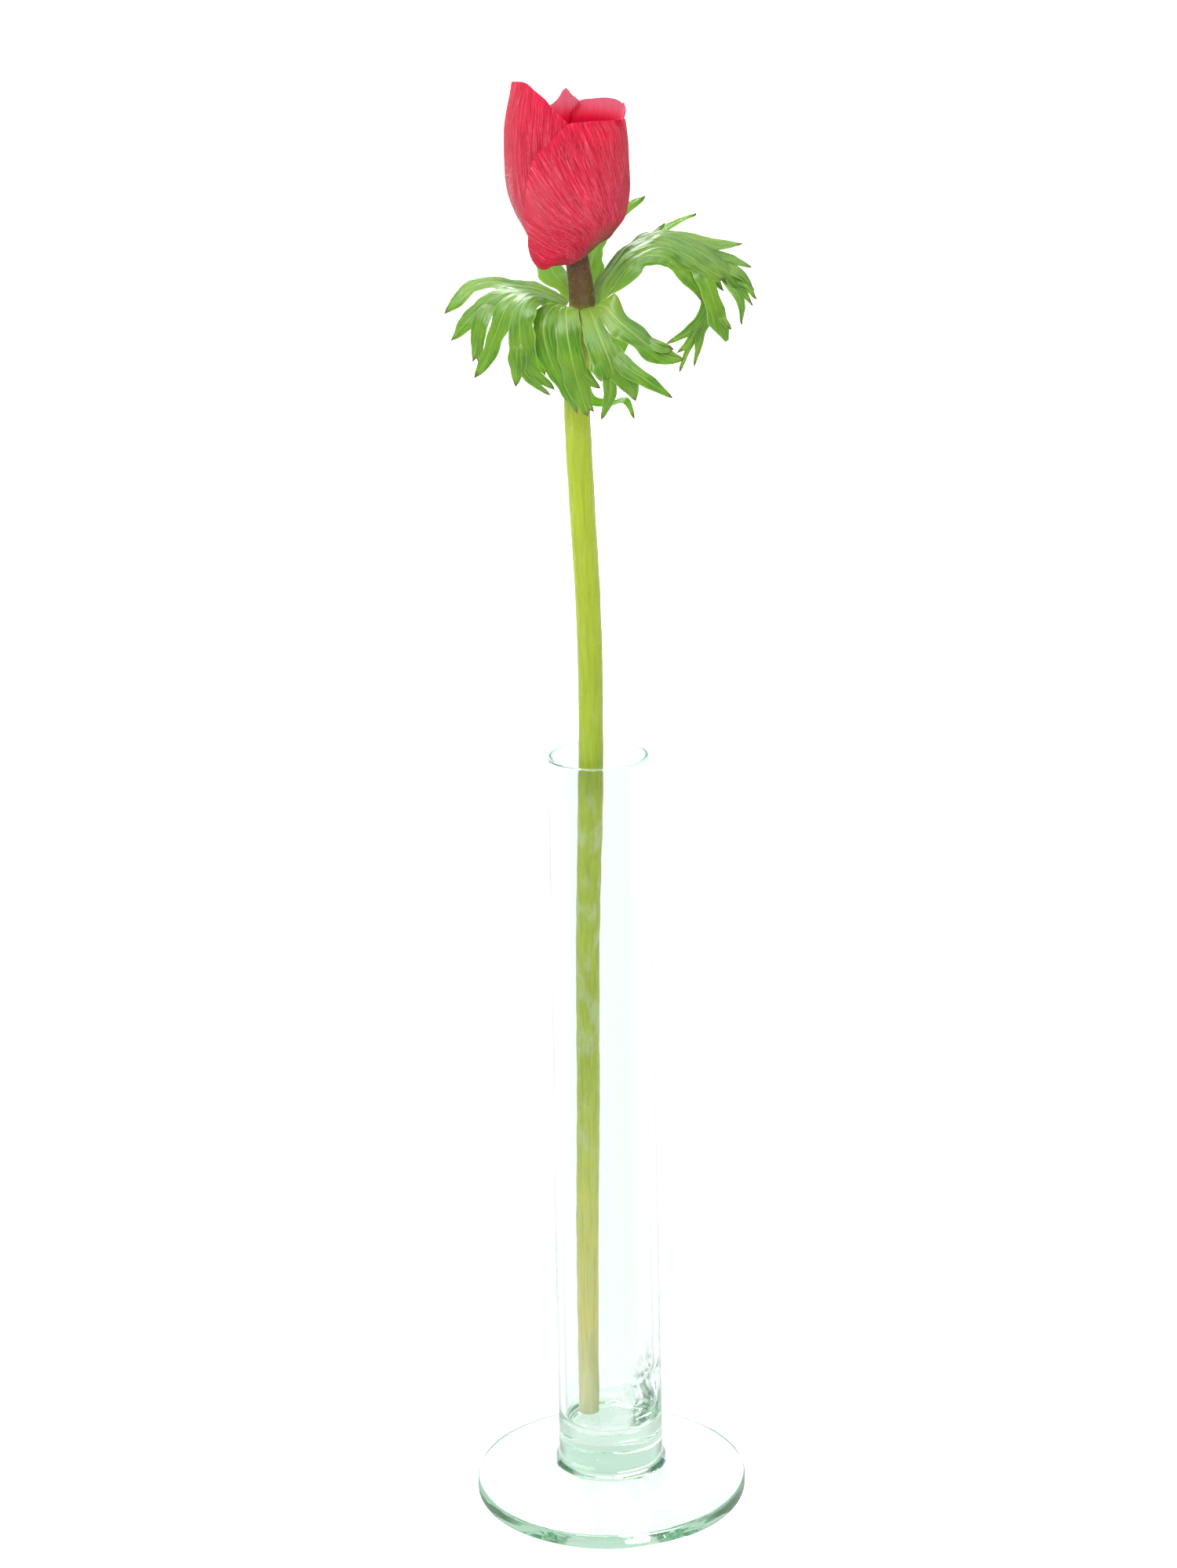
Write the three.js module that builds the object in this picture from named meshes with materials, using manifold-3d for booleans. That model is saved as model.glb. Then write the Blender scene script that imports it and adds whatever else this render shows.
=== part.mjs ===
// A cut anemone in bud, standing in a slender bud vase of clear, slightly green glass.
// Millimetres, +Z up. The origin is the middle of the vase's underside, on its axis.
// The flower's front faces -Y. Angles round a stem or a bud are in degrees from -Y, growing to +X.
import * as THREE from "three";
import { mergeVertices } from "three/addons/utils/BufferGeometryUtils.js";
import Module from "manifold-3d";

// Driving dimensions of the vase
const VASE_HEIGHT = 200;
const FOOT_RADIUS = 34.8;
const FOOT_EDGE = 4;
const TUBE_FROM = 9.5;
const TAPER_FROM = 60;
const TUBE_RADIUS_LOW = 13.35;
const TUBE_RADIUS_TOP = 12.4;
const TUBE_WALL = 1.5;
const WALL_SPREAD = 0.3;
const RIM_BEAD = 0.9;
const RIM_NECK = 4;
const FLOOR_HEIGHT = 19;
const FLOOR_CORNER = 4;
const VASE_SIDES = 36;

// Radius and height of the foot's upper slope, from its edge to the tube
const FOOT_SLOPE = [
  [24, 5.3],
  [17.5, 6.6],
  [14.6, 7.9],
];

// Driving dimensions of the stem, with the joint where the ruff of leaves grows
const STEM_PATH = [
  [-5.6, 3.4, FLOOR_HEIGHT + 1],
  [-5.2, 3, 64],
  [-4.2, 1, 108.5],
  [-3.4, -2, 152],
  [-1.9, -6.9, 198.5],
  [-1.7, -9, 235],
  [-3.1, -11.5, 274],
  [-3.4, -12.9, 295],
  [-1.9, -14, 313.5],
  [-2.9, -14.7, 322.3],
];
const STEM_RADII = [2.75, 2.85, 2.9, 2.9, 3, 3, 3.05, 3.1, 3.05, 2.65];
const STEM_RINGS = 29;
const STEM_SIDES = 12;
const JOINT = [-1.9, -14, 313.5];
const LEAF_ROOT = 4;
const LEAF_THICKNESS = 0.7;
const LEAF_ARCH = 0.24;
const STATIONS_A_SPAN = 1.4;

// Driving dimensions of the flower, measured up from its base
const FLOWER_BASE = [-3, -14.7, 322.9];
const RECEPTACLE_GAP = 0.3;
const RECEPTACLE_RADIUS = 3;
const PETAL_THICKNESS = 0.65;
const PETAL_START = 1;
const PETAL_START_STEP = 0.35;
const LAYER_STEP = 1.2;
const PETAL_ROWS = 10;
const PETAL_COLUMNS = 10;
const STAMENS = 22;

// Radius and height of the outermost petals, from the base to the tip
const BUD_PROFILE = [
  [2.5, 0],
  [6, 1],
  [9, 3.2],
  [11.5, 7],
  [13.2, 12],
  [14.3, 18],
  [14.6, 25],
  [14.2, 35],
  [13.3, 45],
];
// The bud's middle line leans to the left, most of it low down
const BUD_LEAN = -2.5;
const BUD_LEAN_RISE = 8;
// The bud's underside hangs lower on the left and rises on the right, by this much of its radius
const HANG_LEFT = 0.45;
const HANG_LEFT_INNER = 0.25;
const HANG_RIGHT = 0.24;
const HANG_FULL = 8;
const HANG_NONE = 23;
// The inner petals are drawn in above the outer petal's loose corner on the left
const TUCK = 1.5;
const TUCK_FROM = [4, 9];
const TUCK_TO = [13, 24];

const wasm = await Module();
wasm.setup();

const radians = THREE.MathUtils.degToRad;
const smoothstep = THREE.MathUtils.smoothstep;

// A point on the smooth curve through a list of points, at t from 0 to 1
function along(points, t) {
  const last = points.length - 1;
  const place = Math.min(Math.max(t, 0), 1) * last;
  const i = Math.min(Math.floor(place), last - 1);
  const f = place - i;
  const pick = (k) => points[Math.min(Math.max(k, 0), last)];
  const [a, b, c, d] = [pick(i - 1), pick(i), pick(i + 1), pick(i + 2)];
  return b.map((value, k) => {
    const inward = (c[k] - a[k]) / 2;
    const outward = (d[k] - value) / 2;
    const bend = 2 * (value - c[k]) + inward + outward;
    const swell = 3 * (c[k] - value) - 2 * inward - outward;
    return ((bend * f + swell) * f + inward) * f + value;
  });
}

// The value in a table of [place, value] rows, on a smooth curve through the rows
function between(rows, place) {
  const last = rows.length - 1;
  const x = Math.min(Math.max(place, rows[0][0]), rows[last][0]);
  const next = rows.findIndex((row, k) => k > 0 && row[0] >= x);
  const slope = (k) => {
    const [low, high] = [rows[Math.max(k - 1, 0)], rows[Math.min(k + 1, last)]];
    return (high[1] - low[1]) / (high[0] - low[0]);
  };
  const [low, high] = [rows[next - 1], rows[next]];
  const run = high[0] - low[0];
  const f = (x - low[0]) / run;
  const [leave, arrive] = [slope(next - 1) * run, slope(next) * run];
  const bend = 2 * (low[1] - high[1]) + leave + arrive;
  const swell = 3 * (high[1] - low[1]) - 2 * leave - arrive;
  return ((bend * f + swell) * f + leave) * f + low[1];
}

function meshOf(name, geometry, color, roughness, extra = {}) {
  const material = new THREE.MeshStandardMaterial({ color, roughness, metalness: 0, ...extra });
  const mesh = new THREE.Mesh(geometry, material);
  mesh.name = name;
  return mesh;
}

// A closed skin over a grid of outer points and the matching grid of inner points
function skin(outer, inner) {
  const rows = outer.length;
  const columns = outer[0].length;
  const points = [...outer.flat(), ...inner.flat()];
  const index = [];
  const out = (i, j) => i * columns + j;
  const back = (i, j) => rows * columns + i * columns + j;
  const quad = (a, b, c, d) => index.push(a, b, c, a, c, d);
  for (let i = 0; i < rows - 1; i++) {
    for (let j = 0; j < columns - 1; j++) {
      quad(out(i, j), out(i, j + 1), out(i + 1, j + 1), out(i + 1, j));
      index.push(back(i, j), back(i + 1, j + 1), back(i, j + 1));
      index.push(back(i, j), back(i + 1, j), back(i + 1, j + 1));
    }
  }
  for (let j = 0; j < columns - 1; j++) {
    quad(back(0, j), back(0, j + 1), out(0, j + 1), out(0, j));
    quad(out(rows - 1, j), out(rows - 1, j + 1), back(rows - 1, j + 1), back(rows - 1, j));
  }
  for (let i = 0; i < rows - 1; i++) {
    quad(back(i, 0), out(i, 0), out(i + 1, 0), back(i + 1, 0));
    quad(out(i, columns - 1), back(i, columns - 1), back(i + 1, columns - 1), out(i + 1, columns - 1));
  }
  return new THREE.BufferGeometry().setFromPoints(points).setIndex(index);
}

function solidOf(geometry) {
  const bare = geometry.clone();
  bare.deleteAttribute("normal");
  bare.deleteAttribute("uv");
  const merged = mergeVertices(bare, 1e-4);
  return new wasm.Manifold(
    new wasm.Mesh({
      numProp: 3,
      vertProperties: merged.attributes.position.array,
      triVerts: new Uint32Array(merged.index.array),
    }),
  );
}

// Several closed geometries that grow into each other, joined to one. Its outer shell is the
// largest of the joined body's shells: the others are hollows that the joining seals.
function grown(geometries) {
  const whole = geometries.map(solidOf).reduce((sum, solid) => sum.add(solid));
  const shells = whole.decompose().sort((a, b) => b.volume() - a.volume());
  const { vertProperties, triVerts } = shells[0].getMesh();
  return new THREE.BufferGeometry()
    .setAttribute("position", new THREE.BufferAttribute(vertProperties, 3))
    .setIndex(new THREE.BufferAttribute(triVerts, 1));
}

// Vase: foot, solid base, tube and rim turned in one profile
function vase() {
  const arc = (radius, height, size, from, to, steps) =>
    Array.from({ length: steps + 1 }, (_, i) => {
      const angle = radians(from + ((to - from) * i) / steps);
      return [radius + size * Math.cos(angle), height + size * Math.sin(angle)];
    });
  const edge = FOOT_EDGE / 2;
  const boreLow = TUBE_RADIUS_LOW - TUBE_WALL - WALL_SPREAD;
  const boreTop = TUBE_RADIUS_TOP - TUBE_WALL;
  const rimMiddle = TUBE_RADIUS_TOP - TUBE_WALL / 2;
  const profile = [
    [0, 0],
    ...arc(FOOT_RADIUS - edge, edge, edge, -90, 90, 4),
    ...FOOT_SLOPE,
    [TUBE_RADIUS_LOW, TUBE_FROM],
    [TUBE_RADIUS_LOW, TAPER_FROM],
    ...arc(rimMiddle, VASE_HEIGHT - RIM_BEAD, RIM_BEAD, -50, 230, 6),
    [boreTop, VASE_HEIGHT - RIM_NECK],
    [boreLow, TAPER_FROM],
    ...arc(boreLow - FLOOR_CORNER, FLOOR_HEIGHT + FLOOR_CORNER, FLOOR_CORNER, 0, -90, 3),
    [0, FLOOR_HEIGHT],
  ];
  const turned = new THREE.LatheGeometry(
    profile.map(([r, z]) => new THREE.Vector2(r, z)),
    VASE_SIDES,
  );
  return turned.rotateX(Math.PI / 2);
}

// Stem: one round stalk from the cut end to the flower
function stem() {
  const rings = Array.from({ length: STEM_RINGS + 1 }, (_, i) => {
    const t = i / STEM_RINGS;
    const middle = new THREE.Vector3(...along(STEM_PATH, t));
    const [radius] = along(STEM_RADII.map((r) => [r]), t);
    const ahead = new THREE.Vector3(...along(STEM_PATH, t + 0.01));
    const behind = new THREE.Vector3(...along(STEM_PATH, t - 0.01));
    const way = ahead.sub(behind).normalize();
    const front = new THREE.Vector3(0, -1, 0).cross(way).normalize();
    const side = way.clone().cross(front);
    return Array.from({ length: STEM_SIDES }, (_, j) => {
      const angle = (2 * Math.PI * j) / STEM_SIDES;
      return middle
        .clone()
        .addScaledVector(front, radius * Math.cos(angle))
        .addScaledVector(side, radius * Math.sin(angle));
    });
  });
  const index = [];
  for (let i = 0; i < STEM_RINGS; i++) {
    for (let j = 0; j < STEM_SIDES; j++) {
      const k = (j + 1) % STEM_SIDES;
      const [a, b] = [i * STEM_SIDES + j, i * STEM_SIDES + k];
      index.push(a, b, b + STEM_SIDES, a, b + STEM_SIDES, a + STEM_SIDES);
    }
  }
  const top = STEM_RINGS * STEM_SIDES;
  for (let j = 1; j < STEM_SIDES - 1; j++) {
    index.push(0, j + 1, j, top, top + j, top + j + 1);
  }
  return new THREE.BufferGeometry().setFromPoints(rings.flat()).setIndex(index);
}

// Where a leaf finger grows from the stem, by its angle round the joint
function root(angle) {
  const a = radians(angle);
  return [JOINT[0] + LEAF_ROOT * Math.sin(a), JOINT[1] - LEAF_ROOT * Math.cos(a), JOINT[2]];
}

// One finger or tooth of a leaf: a thin arched blade along a curve.
// facing gives the way its upper face looks, from its root to its tip.
function finger({ at, wide, facing }) {
  const stations = Math.ceil((at.length - 1) * STATIONS_A_SPAN) + 1;
  const outer = [];
  const inner = [];
  for (let i = 0; i < stations; i++) {
    const t = i / (stations - 1);
    const middle = new THREE.Vector3(...along(at, t));
    const ahead = new THREE.Vector3(...along(at, t + 0.02));
    const way = ahead.sub(new THREE.Vector3(...along(at, t - 0.02))).normalize();
    const up = new THREE.Vector3(...along(facing, t));
    up.addScaledVector(way, -up.dot(way)).normalize();
    const across = way.clone().cross(up);
    const [width] = along(wide.map((w) => [w]), t);
    const columns = [-0.5, 0, 0.5].map((u) =>
      middle
        .clone()
        .addScaledVector(across, u * width)
        .addScaledVector(up, (0.5 - Math.abs(u)) * LEAF_ARCH * width),
    );
    outer.push(columns.map((p) => p.clone().addScaledVector(up, LEAF_THICKNESS / 2)));
    inner.push(columns.map((p) => p.clone().addScaledVector(up, -LEAF_THICKNESS / 2)));
  }
  return skin(outer, inner);
}

// The leaf on the left: four fingers to the side and two that hang in front of the stem
const LEFT_LEAF = [
  {
    at: [root(-120), [-9.5, -11.5, 316], [-16, -10, 317.5], [-23, -9, 318.5], [-27.5, -9, 317.5],
      [-31, -10, 314.5], [-34, -10, 311.5]],
    wide: [2.5, 5, 5, 3.2, 3.6, 2.8, 0.6],
    facing: [[0, -0.2, 1], [-0.2, -0.8, 0.6]],
  },
  {
    at: [root(-108), [-10, -14, 316], [-16.5, -15, 317.5], [-22, -15, 316], [-27, -15, 312],
      [-30, -15, 309], [-32.5, -14, 306]],
    wide: [2.5, 5, 5.5, 4.5, 4.2, 3, 0.6],
    facing: [[-0.1, -0.4, 1], [-0.4, -0.9, 0.4]],
  },
  {
    at: [[-20.5, -15, 316.5], [-24, -17, 314], [-25.5, -18, 310], [-26.5, -18, 305.5],
      [-27.5, -17, 301.5]],
    wide: [2.5, 3.6, 3.8, 2.8, 0.6],
    facing: [[-0.3, -0.6, 0.7], [-0.5, -0.9, 0.1]],
  },
  {
    at: [[-25.5, -18, 309.5], [-26, -18, 304], [-26, -17.5, 301]],
    wide: [2, 1.8, 0.6],
    facing: [[-0.4, -0.8, 0.3], [-0.5, -0.9, 0.1]],
  },
  {
    at: [root(-90), [-10.5, -17.5, 316.5], [-15, -20, 317.5], [-19, -22, 315], [-21.5, -23, 309.5],
      [-24, -22, 303.5], [-27, -21, 298.5]],
    wide: [2.5, 5, 5.5, 4.6, 4, 3.4, 0.6],
    facing: [[0, -0.4, 1], [-0.3, -1, 0.3]],
  },
  {
    at: [root(-68), [-9.5, -20, 316], [-13.5, -24, 317.5], [-16, -27, 314.5], [-16, -28, 308.5],
      [-14, -28, 302], [-8.5, -26, 296.5]],
    wide: [2.5, 5.5, 6.4, 5.8, 6, 4, 0.6],
    facing: [[0, -0.3, 1], [-0.2, -1, 0]],
  },
  {
    at: [[-16, -27.2, 312.5], [-17, -28.5, 306.5], [-17, -28, 302], [-17.5, -27, 297.5]],
    wide: [3, 4, 3.4, 0.6],
    facing: [[-0.3, -0.9, 0.4], [-0.3, -1, 0.2]],
  },
  {
    at: [[-16, -28, 307.5], [-15.5, -28.5, 302], [-13, -28, 298.5], [-9.5, -27, 295.5]],
    wide: [3, 3, 1.8, 0.6],
    facing: [[-0.2, -1, 0.2], [-0.2, -1, -0.1]],
  },
  {
    at: [root(-46), [-8, -20, 314.5], [-10.5, -24, 312], [-10.5, -25, 307], [-8.5, -25, 301],
      [-5.5, -24, 295.5], [-3.5, -22.5, 290]],
    wide: [3, 5.8, 5.4, 5, 3.6, 3, 0.6],
    facing: [[-0.1, -0.3, 1], [-0.1, -1, 0]],
  },
  {
    at: [[-10, -24, 310.5], [-11.5, -25, 307.5], [-12, -24.5, 304.5]],
    wide: [2, 1.6, 0.6],
    facing: [[-0.2, -0.9, 0.3], [-0.3, -1, 0]],
  },
  {
    at: [root(-24), [-5.5, -21, 314], [-5.5, -24.5, 309.5], [-4.5, -25.5, 303], [-3, -25, 296.5],
      [-1, -23.5, 289.5]],
    wide: [2.6, 5, 5.8, 5.2, 5.4, 0.8],
    facing: [[0, -0.3, 1], [0.1, -1, 0]],
  },
  {
    at: [[-4.5, -25.5, 302.5], [-1, -25, 299], [2, -23.5, 296]],
    wide: [3, 2.6, 0.6],
    facing: [[0.1, -1, 0.2], [0.3, -1, 0.2]],
  },
  {
    at: [[-1.8, -24.6, 295], [-0.5, -24, 292], [0.5, -23.5, 290.5]],
    wide: [2, 1.2, 0.6],
    facing: [[0.1, -1, 0], [0.2, -1, 0]],
  },
];

// The leaf on the right: two fingers in front, and an arch of fingers that hang from its crown
const RIGHT_LEAF = [
  {
    at: [root(14), [0, -20.5, 312.8], [2, -24.5, 308], [4, -26.5, 303], [5, -27, 299.5]],
    wide: [1.6, 4.2, 6.5, 7.5, 5],
    facing: [[0.1, -0.4, 1], [0.2, -1, 0.1]],
  },
  {
    at: [[2.5, -25, 306.5], [4, -27, 300.5], [4, -26.5, 295], [2, -25, 289]],
    wide: [4, 3.2, 2.8, 0.6],
    facing: [[0.1, -1, 0.3], [0.1, -1, 0]],
  },
  {
    at: [[4, -26.5, 304], [6.5, -27, 300], [9, -26, 297], [9.5, -23.5, 293.5]],
    wide: [5, 4.2, 3.8, 1.5],
    facing: [[0.2, -1, 0.3], [0.5, -0.8, -0.5]],
  },
  {
    at: [[4, -26.3, 306], [8.5, -27.5, 301.5], [13.5, -27.5, 298], [18.5, -26, 294]],
    wide: [4.5, 4, 2.8, 0.6],
    facing: [[0.2, -1, 0.3], [0.1, -1, 0.4]],
  },
  {
    at: [root(36), [3, -19.5, 314], [7, -22.5, 310.5], [11.5, -23.5, 307], [16.5, -23, 303.5],
      [21.5, -21.5, 302]],
    wide: [2.6, 5.5, 6.5, 5.5, 4.4, 0.6],
    facing: [[0.2, -0.4, 1], [0.1, -0.9, 0.5]],
  },
  {
    at: [[11, -23.2, 308], [16, -23.5, 305.5], [19, -22, 304.5]],
    wide: [3, 2.5, 0.6],
    facing: [[0.1, -0.8, 0.6], [0.1, -0.8, 0.6]],
  },
  {
    at: [root(56), [5, -17, 317.5], [8.5, -18, 322.5], [12.5, -18, 325.5], [18, -18, 325],
      [21, -18, 322], [23.5, -18, 319], [26, -17, 314.5]],
    wide: [2.2, 5, 6, 4.5, 4, 3.4, 2.8, 0.6],
    facing: [[-0.5, -0.7, 0.5], [0.1, -0.8, 0.4], [0.7, -0.7, 0.2]],
  },
  {
    at: [root(98), [4.5, -11, 320], [9, -10.5, 326.5], [16, -10, 329], [23.5, -10, 328],
      [30, -10, 326.5], [35.5, -9, 326.5]],
    wide: [3, 4.5, 4.5, 4, 3.4, 3, 0.6],
    facing: [[-0.8, -0.2, 0.5], [-0.2, -0.5, 0.8], [0.2, -0.6, 0.8]],
  },
  {
    at: [root(78), [4.5, -14, 319.5], [9, -14.5, 325], [15, -15, 327.5], [21.5, -16, 325.5],
      [27, -16.5, 322], [31.5, -16, 319.5]],
    wide: [2.2, 5, 5, 5, 5.5, 5, 0.8],
    facing: [[-0.8, -0.2, 0.5], [-0.3, -0.7, 0.6], [0.4, -0.8, 0.5]],
  },
  {
    at: [[20.5, -15.7, 325.5], [25.5, -17.5, 322], [28, -18.5, 315.5], [29.5, -18.5, 310.5],
      [31.5, -17.5, 305.5]],
    wide: [3, 4.5, 4.2, 4.2, 1.2],
    facing: [[0, -0.7, 0.7], [0.5, -0.85, 0]],
  },
  {
    at: [[28.5, -18.5, 314], [31, -18.5, 310], [32.5, -18, 308]],
    wide: [2, 1.4, 0.6],
    facing: [[0.4, -0.8, 0.2], [0.5, -0.85, 0]],
  },
  {
    at: [[20, -14.5, 327], [26, -13, 318.5], [26.5, -12.5, 312], [23, -12, 307], [17.5, -12, 304]],
    wide: [2.5, 2.6, 2.4, 2.4, 0.6],
    facing: [[0.2, -0.5, 0.6], [0.3, -0.9, -0.2]],
  },
  {
    at: [[26, -12.5, 310.5], [23, -11.5, 304.5], [20, -11, 301.5]],
    wide: [2, 1.6, 0.6],
    facing: [[0.5, -0.6, 0], [0.3, -0.9, 0]],
  },
  {
    at: [[21.5, -12.5, 327.5], [27, -11.5, 319.5], [27.5, -10.5, 311.5], [25.5, -10, 305],
      [24, -10, 298]],
    wide: [2.5, 2.6, 2.6, 2.4, 0.6],
    facing: [[0.3, -0.5, 0.6], [0.6, -0.8, 0]],
  },
  {
    at: [[26.5, -10.3, 308.5], [23, -9.5, 302.5], [20.5, -9, 296.5]],
    wide: [2, 1.6, 0.6],
    facing: [[0.5, -0.7, 0], [0.4, -0.9, 0]],
  },
  {
    at: [[9, -12, 326], [16, -12.5, 328.8], [23.5, -13, 327], [29.5, -13.5, 322.8], [34, -13.5, 318],
      [37.5, -12.5, 312.5]],
    wide: [4, 5, 5, 4, 3, 0.6],
    facing: [[-0.3, -0.4, 0.8], [0.6, -0.6, 0.4]],
  },
  {
    at: [[24, -12.5, 326.8], [32, -11, 323.5], [37.5, -10, 321]],
    wide: [3, 2.8, 0.6],
    facing: [[0.2, -0.6, 0.8], [0.3, -0.6, 0.8]],
  },
  {
    at: [[28, -13.3, 323.8], [35, -12.5, 320], [38, -12, 316]],
    wide: [3.4, 3, 0.6],
    facing: [[0.3, -0.6, 0.6], [0.5, -0.6, 0.4]],
  },
  {
    at: [[32, -13.5, 320.5], [36.5, -13, 317], [38.5, -12.5, 314]],
    wide: [3, 2, 0.6],
    facing: [[0.4, -0.6, 0.5], [0.6, -0.6, 0.3]],
  },
  {
    at: [[29.5, -13.7, 322.7], [33.5, -15, 316.5], [35, -15, 312.5], [35, -14, 308.5]],
    wide: [3, 2.4, 2, 0.6],
    facing: [[0.4, -0.7, 0.4], [0.7, -0.7, 0]],
  },
  {
    at: [[25, -13, 325.5], [29, -12.5, 319], [31, -12, 316]],
    wide: [2.4, 2, 0.6],
    facing: [[0.3, -0.7, 0.5], [0.5, -0.7, 0.2]],
  },
];

// The leaf behind: three fingers that rise behind the bud and four that hang
const BACK_LEAF = [
  {
    at: [root(-158), [-5.8, -7, 316.5], [-8.5, -3, 319], [-9.5, 2, 322.5], [-8.5, 6, 326.5],
      [-6.5, 8, 330]],
    wide: [1.8, 4, 6, 5, 4, 0.6],
    facing: [[0, -0.3, 1], [0.3, -0.8, 0.6]],
  },
  {
    at: [root(165), [0, -7, 317.5], [0.5, -3, 321], [1.5, 2, 325], [5, 7, 329.5], [9.5, 10, 332.5],
      [13.5, 12, 334.5]],
    wide: [3, 4.5, 4.5, 4.5, 4, 3, 0.6],
    facing: [[0, -0.4, 1], [-0.3, -0.6, 0.7]],
  },
  {
    at: [root(143), [4, -5.5, 317], [9, 0, 322.5], [14.5, 5, 326], [20, 8, 328.5], [25.5, 10, 330.5]],
    wide: [2, 4, 4, 3, 2, 0.6],
    facing: [[-0.2, -0.4, 1], [-0.3, -0.5, 0.8]],
  },
  {
    at: [[11, 2, 324], [16, 5, 327.5], [18, 6, 329]],
    wide: [2, 1.6, 0.6],
    facing: [[-0.2, -0.4, 0.9], [-0.3, -0.5, 0.8]],
  },
  {
    at: [root(180), [-1.5, -6, 314.5], [-1.5, 0, 311], [-1, 3, 303.5], [0, 4, 297.5], [2.5, 3, 292]],
    wide: [3, 6, 6, 5, 3.5, 0.6],
    facing: [[0, 0.3, 1], [0.2, 1, 0.2]],
  },
  {
    at: [[-1.5, 2, 308], [-2, 4, 300], [-2, 4, 292], [0, 2, 288], [4.5, 0, 287.5], [8, -3, 288.5],
      [10, -5, 284.5]],
    wide: [3, 3.5, 3, 2.2, 1.8, 1.8, 0.6],
    facing: [[0, 1, 0.3], [0.4, 0.3, -0.9]],
  },
  {
    at: [root(-168), [-5.5, -5, 314.5], [-9, 0, 311.5], [-11, 4, 304.5], [-12, 5, 299],
      [-11, 4, 293.5]],
    wide: [2.4, 4.4, 5, 4, 3.4, 0.6],
    facing: [[-0.1, 0.2, 1], [-0.3, 0.9, 0.2]],
  },
  {
    at: [root(150), [4, -6, 313], [6, -1, 308.5], [7, 2, 302.5], [7, 2, 297]],
    wide: [3, 4.5, 4.5, 4, 0.6],
    facing: [[0.3, 0.3, 1], [0.5, 0.8, 0.2]],
  },
];

// Radius, height and inward direction of the bud's outer surface, at a distance up a petal
const PROFILE_STEPS = 400;
const profileTrack = Array.from({ length: PROFILE_STEPS + 1 }, (_, i) => [
  0,
  ...along(BUD_PROFILE, i / PROFILE_STEPS),
]);
for (let i = 1; i <= PROFILE_STEPS; i++) {
  const [here, before] = [profileTrack[i], profileTrack[i - 1]];
  here[0] = before[0] + Math.hypot(here[1] - before[1], here[2] - before[2]);
}

function budSection(distance) {
  const i = Math.max(profileTrack.findIndex((row) => row[0] > distance), 1);
  const [low, high] = [profileTrack[i - 1], profileTrack[i]];
  const f = (distance - low[0]) / (high[0] - low[0]);
  const [dr, dz] = [high[1] - low[1], high[2] - low[2]];
  const length = Math.hypot(dr, dz);
  return {
    radius: low[1] + dr * f,
    height: low[2] + dz * f,
    inward: [-dz / length, dr / length],
  };
}

function budLean(height) {
  return BUD_LEAN * (1 - Math.exp(-Math.max(height, 0) / BUD_LEAN_RISE));
}

// A point of a petal: distance up from its base, angle round the bud, and depth below the outermost layer
function budPoint(distance, angle, depth) {
  const { radius, height, inward } = budSection(distance);
  const a = radians(angle);
  const deep = Math.min(depth / LAYER_STEP, 1);
  const low = smoothstep(distance, ...TUCK_FROM) * (1 - smoothstep(distance, ...TUCK_TO));
  const sunk = depth + TUCK * deep * low * smoothstep(-Math.sin(a), 0.3, 0.9);
  const r = radius + inward[0] * sunk;
  const hangLeft = THREE.MathUtils.lerp(HANG_LEFT, HANG_LEFT_INNER, deep);
  const hang = Math.sin(a) < 0 ? hangLeft : HANG_RIGHT;
  const fall = 1 - smoothstep(distance, HANG_FULL, HANG_NONE);
  const z = height + inward[1] * sunk + hang * fall * r * Math.sin(a);
  return new THREE.Vector3(
    FLOWER_BASE[0] + budLean(z) + r * Math.sin(a),
    FLOWER_BASE[1] - r * Math.cos(a),
    FLOWER_BASE[2] + z,
  );
}

// One petal. left and right give the angle of its edges by distance up the petal, top gives how far
// it reaches by place across it, and fold how far its upper edge is drawn in by place across it.
function petal({ layer, left, right, top, fold, foldFrom = 0.93 }) {
  const start = PETAL_START + PETAL_START_STEP * layer;
  const place = (v, u) => {
    const distance = start + v * (between(top, u) - start);
    const angle = between(left, distance) + u * (between(right, distance) - between(left, distance));
    const drawn = fold ? between(fold, u) * smoothstep(v, foldFrom, 1) : 0;
    return budPoint(distance, angle, layer * LAYER_STEP + drawn);
  };
  const outer = [];
  const inner = [];
  for (let i = 0; i <= PETAL_ROWS; i++) {
    outer.push([]);
    inner.push([]);
    for (let j = 0; j <= PETAL_COLUMNS; j++) {
      const [v, u] = [(1 - Math.cos((Math.PI * i) / PETAL_ROWS)) / 2, j / PETAL_COLUMNS];
      const middle = place(v, u);
      const upward = place(v + 0.01, u).sub(place(v - 0.01, u));
      const sideways = place(v, u + 0.01).sub(place(v, u - 0.01));
      const out = sideways.cross(upward).normalize();
      outer[i].push(middle.clone().addScaledVector(out, PETAL_THICKNESS / 2));
      inner[i].push(middle.clone().addScaledVector(out, -PETAL_THICKNESS / 2));
    }
  }
  return skin(outer, inner);
}

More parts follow.
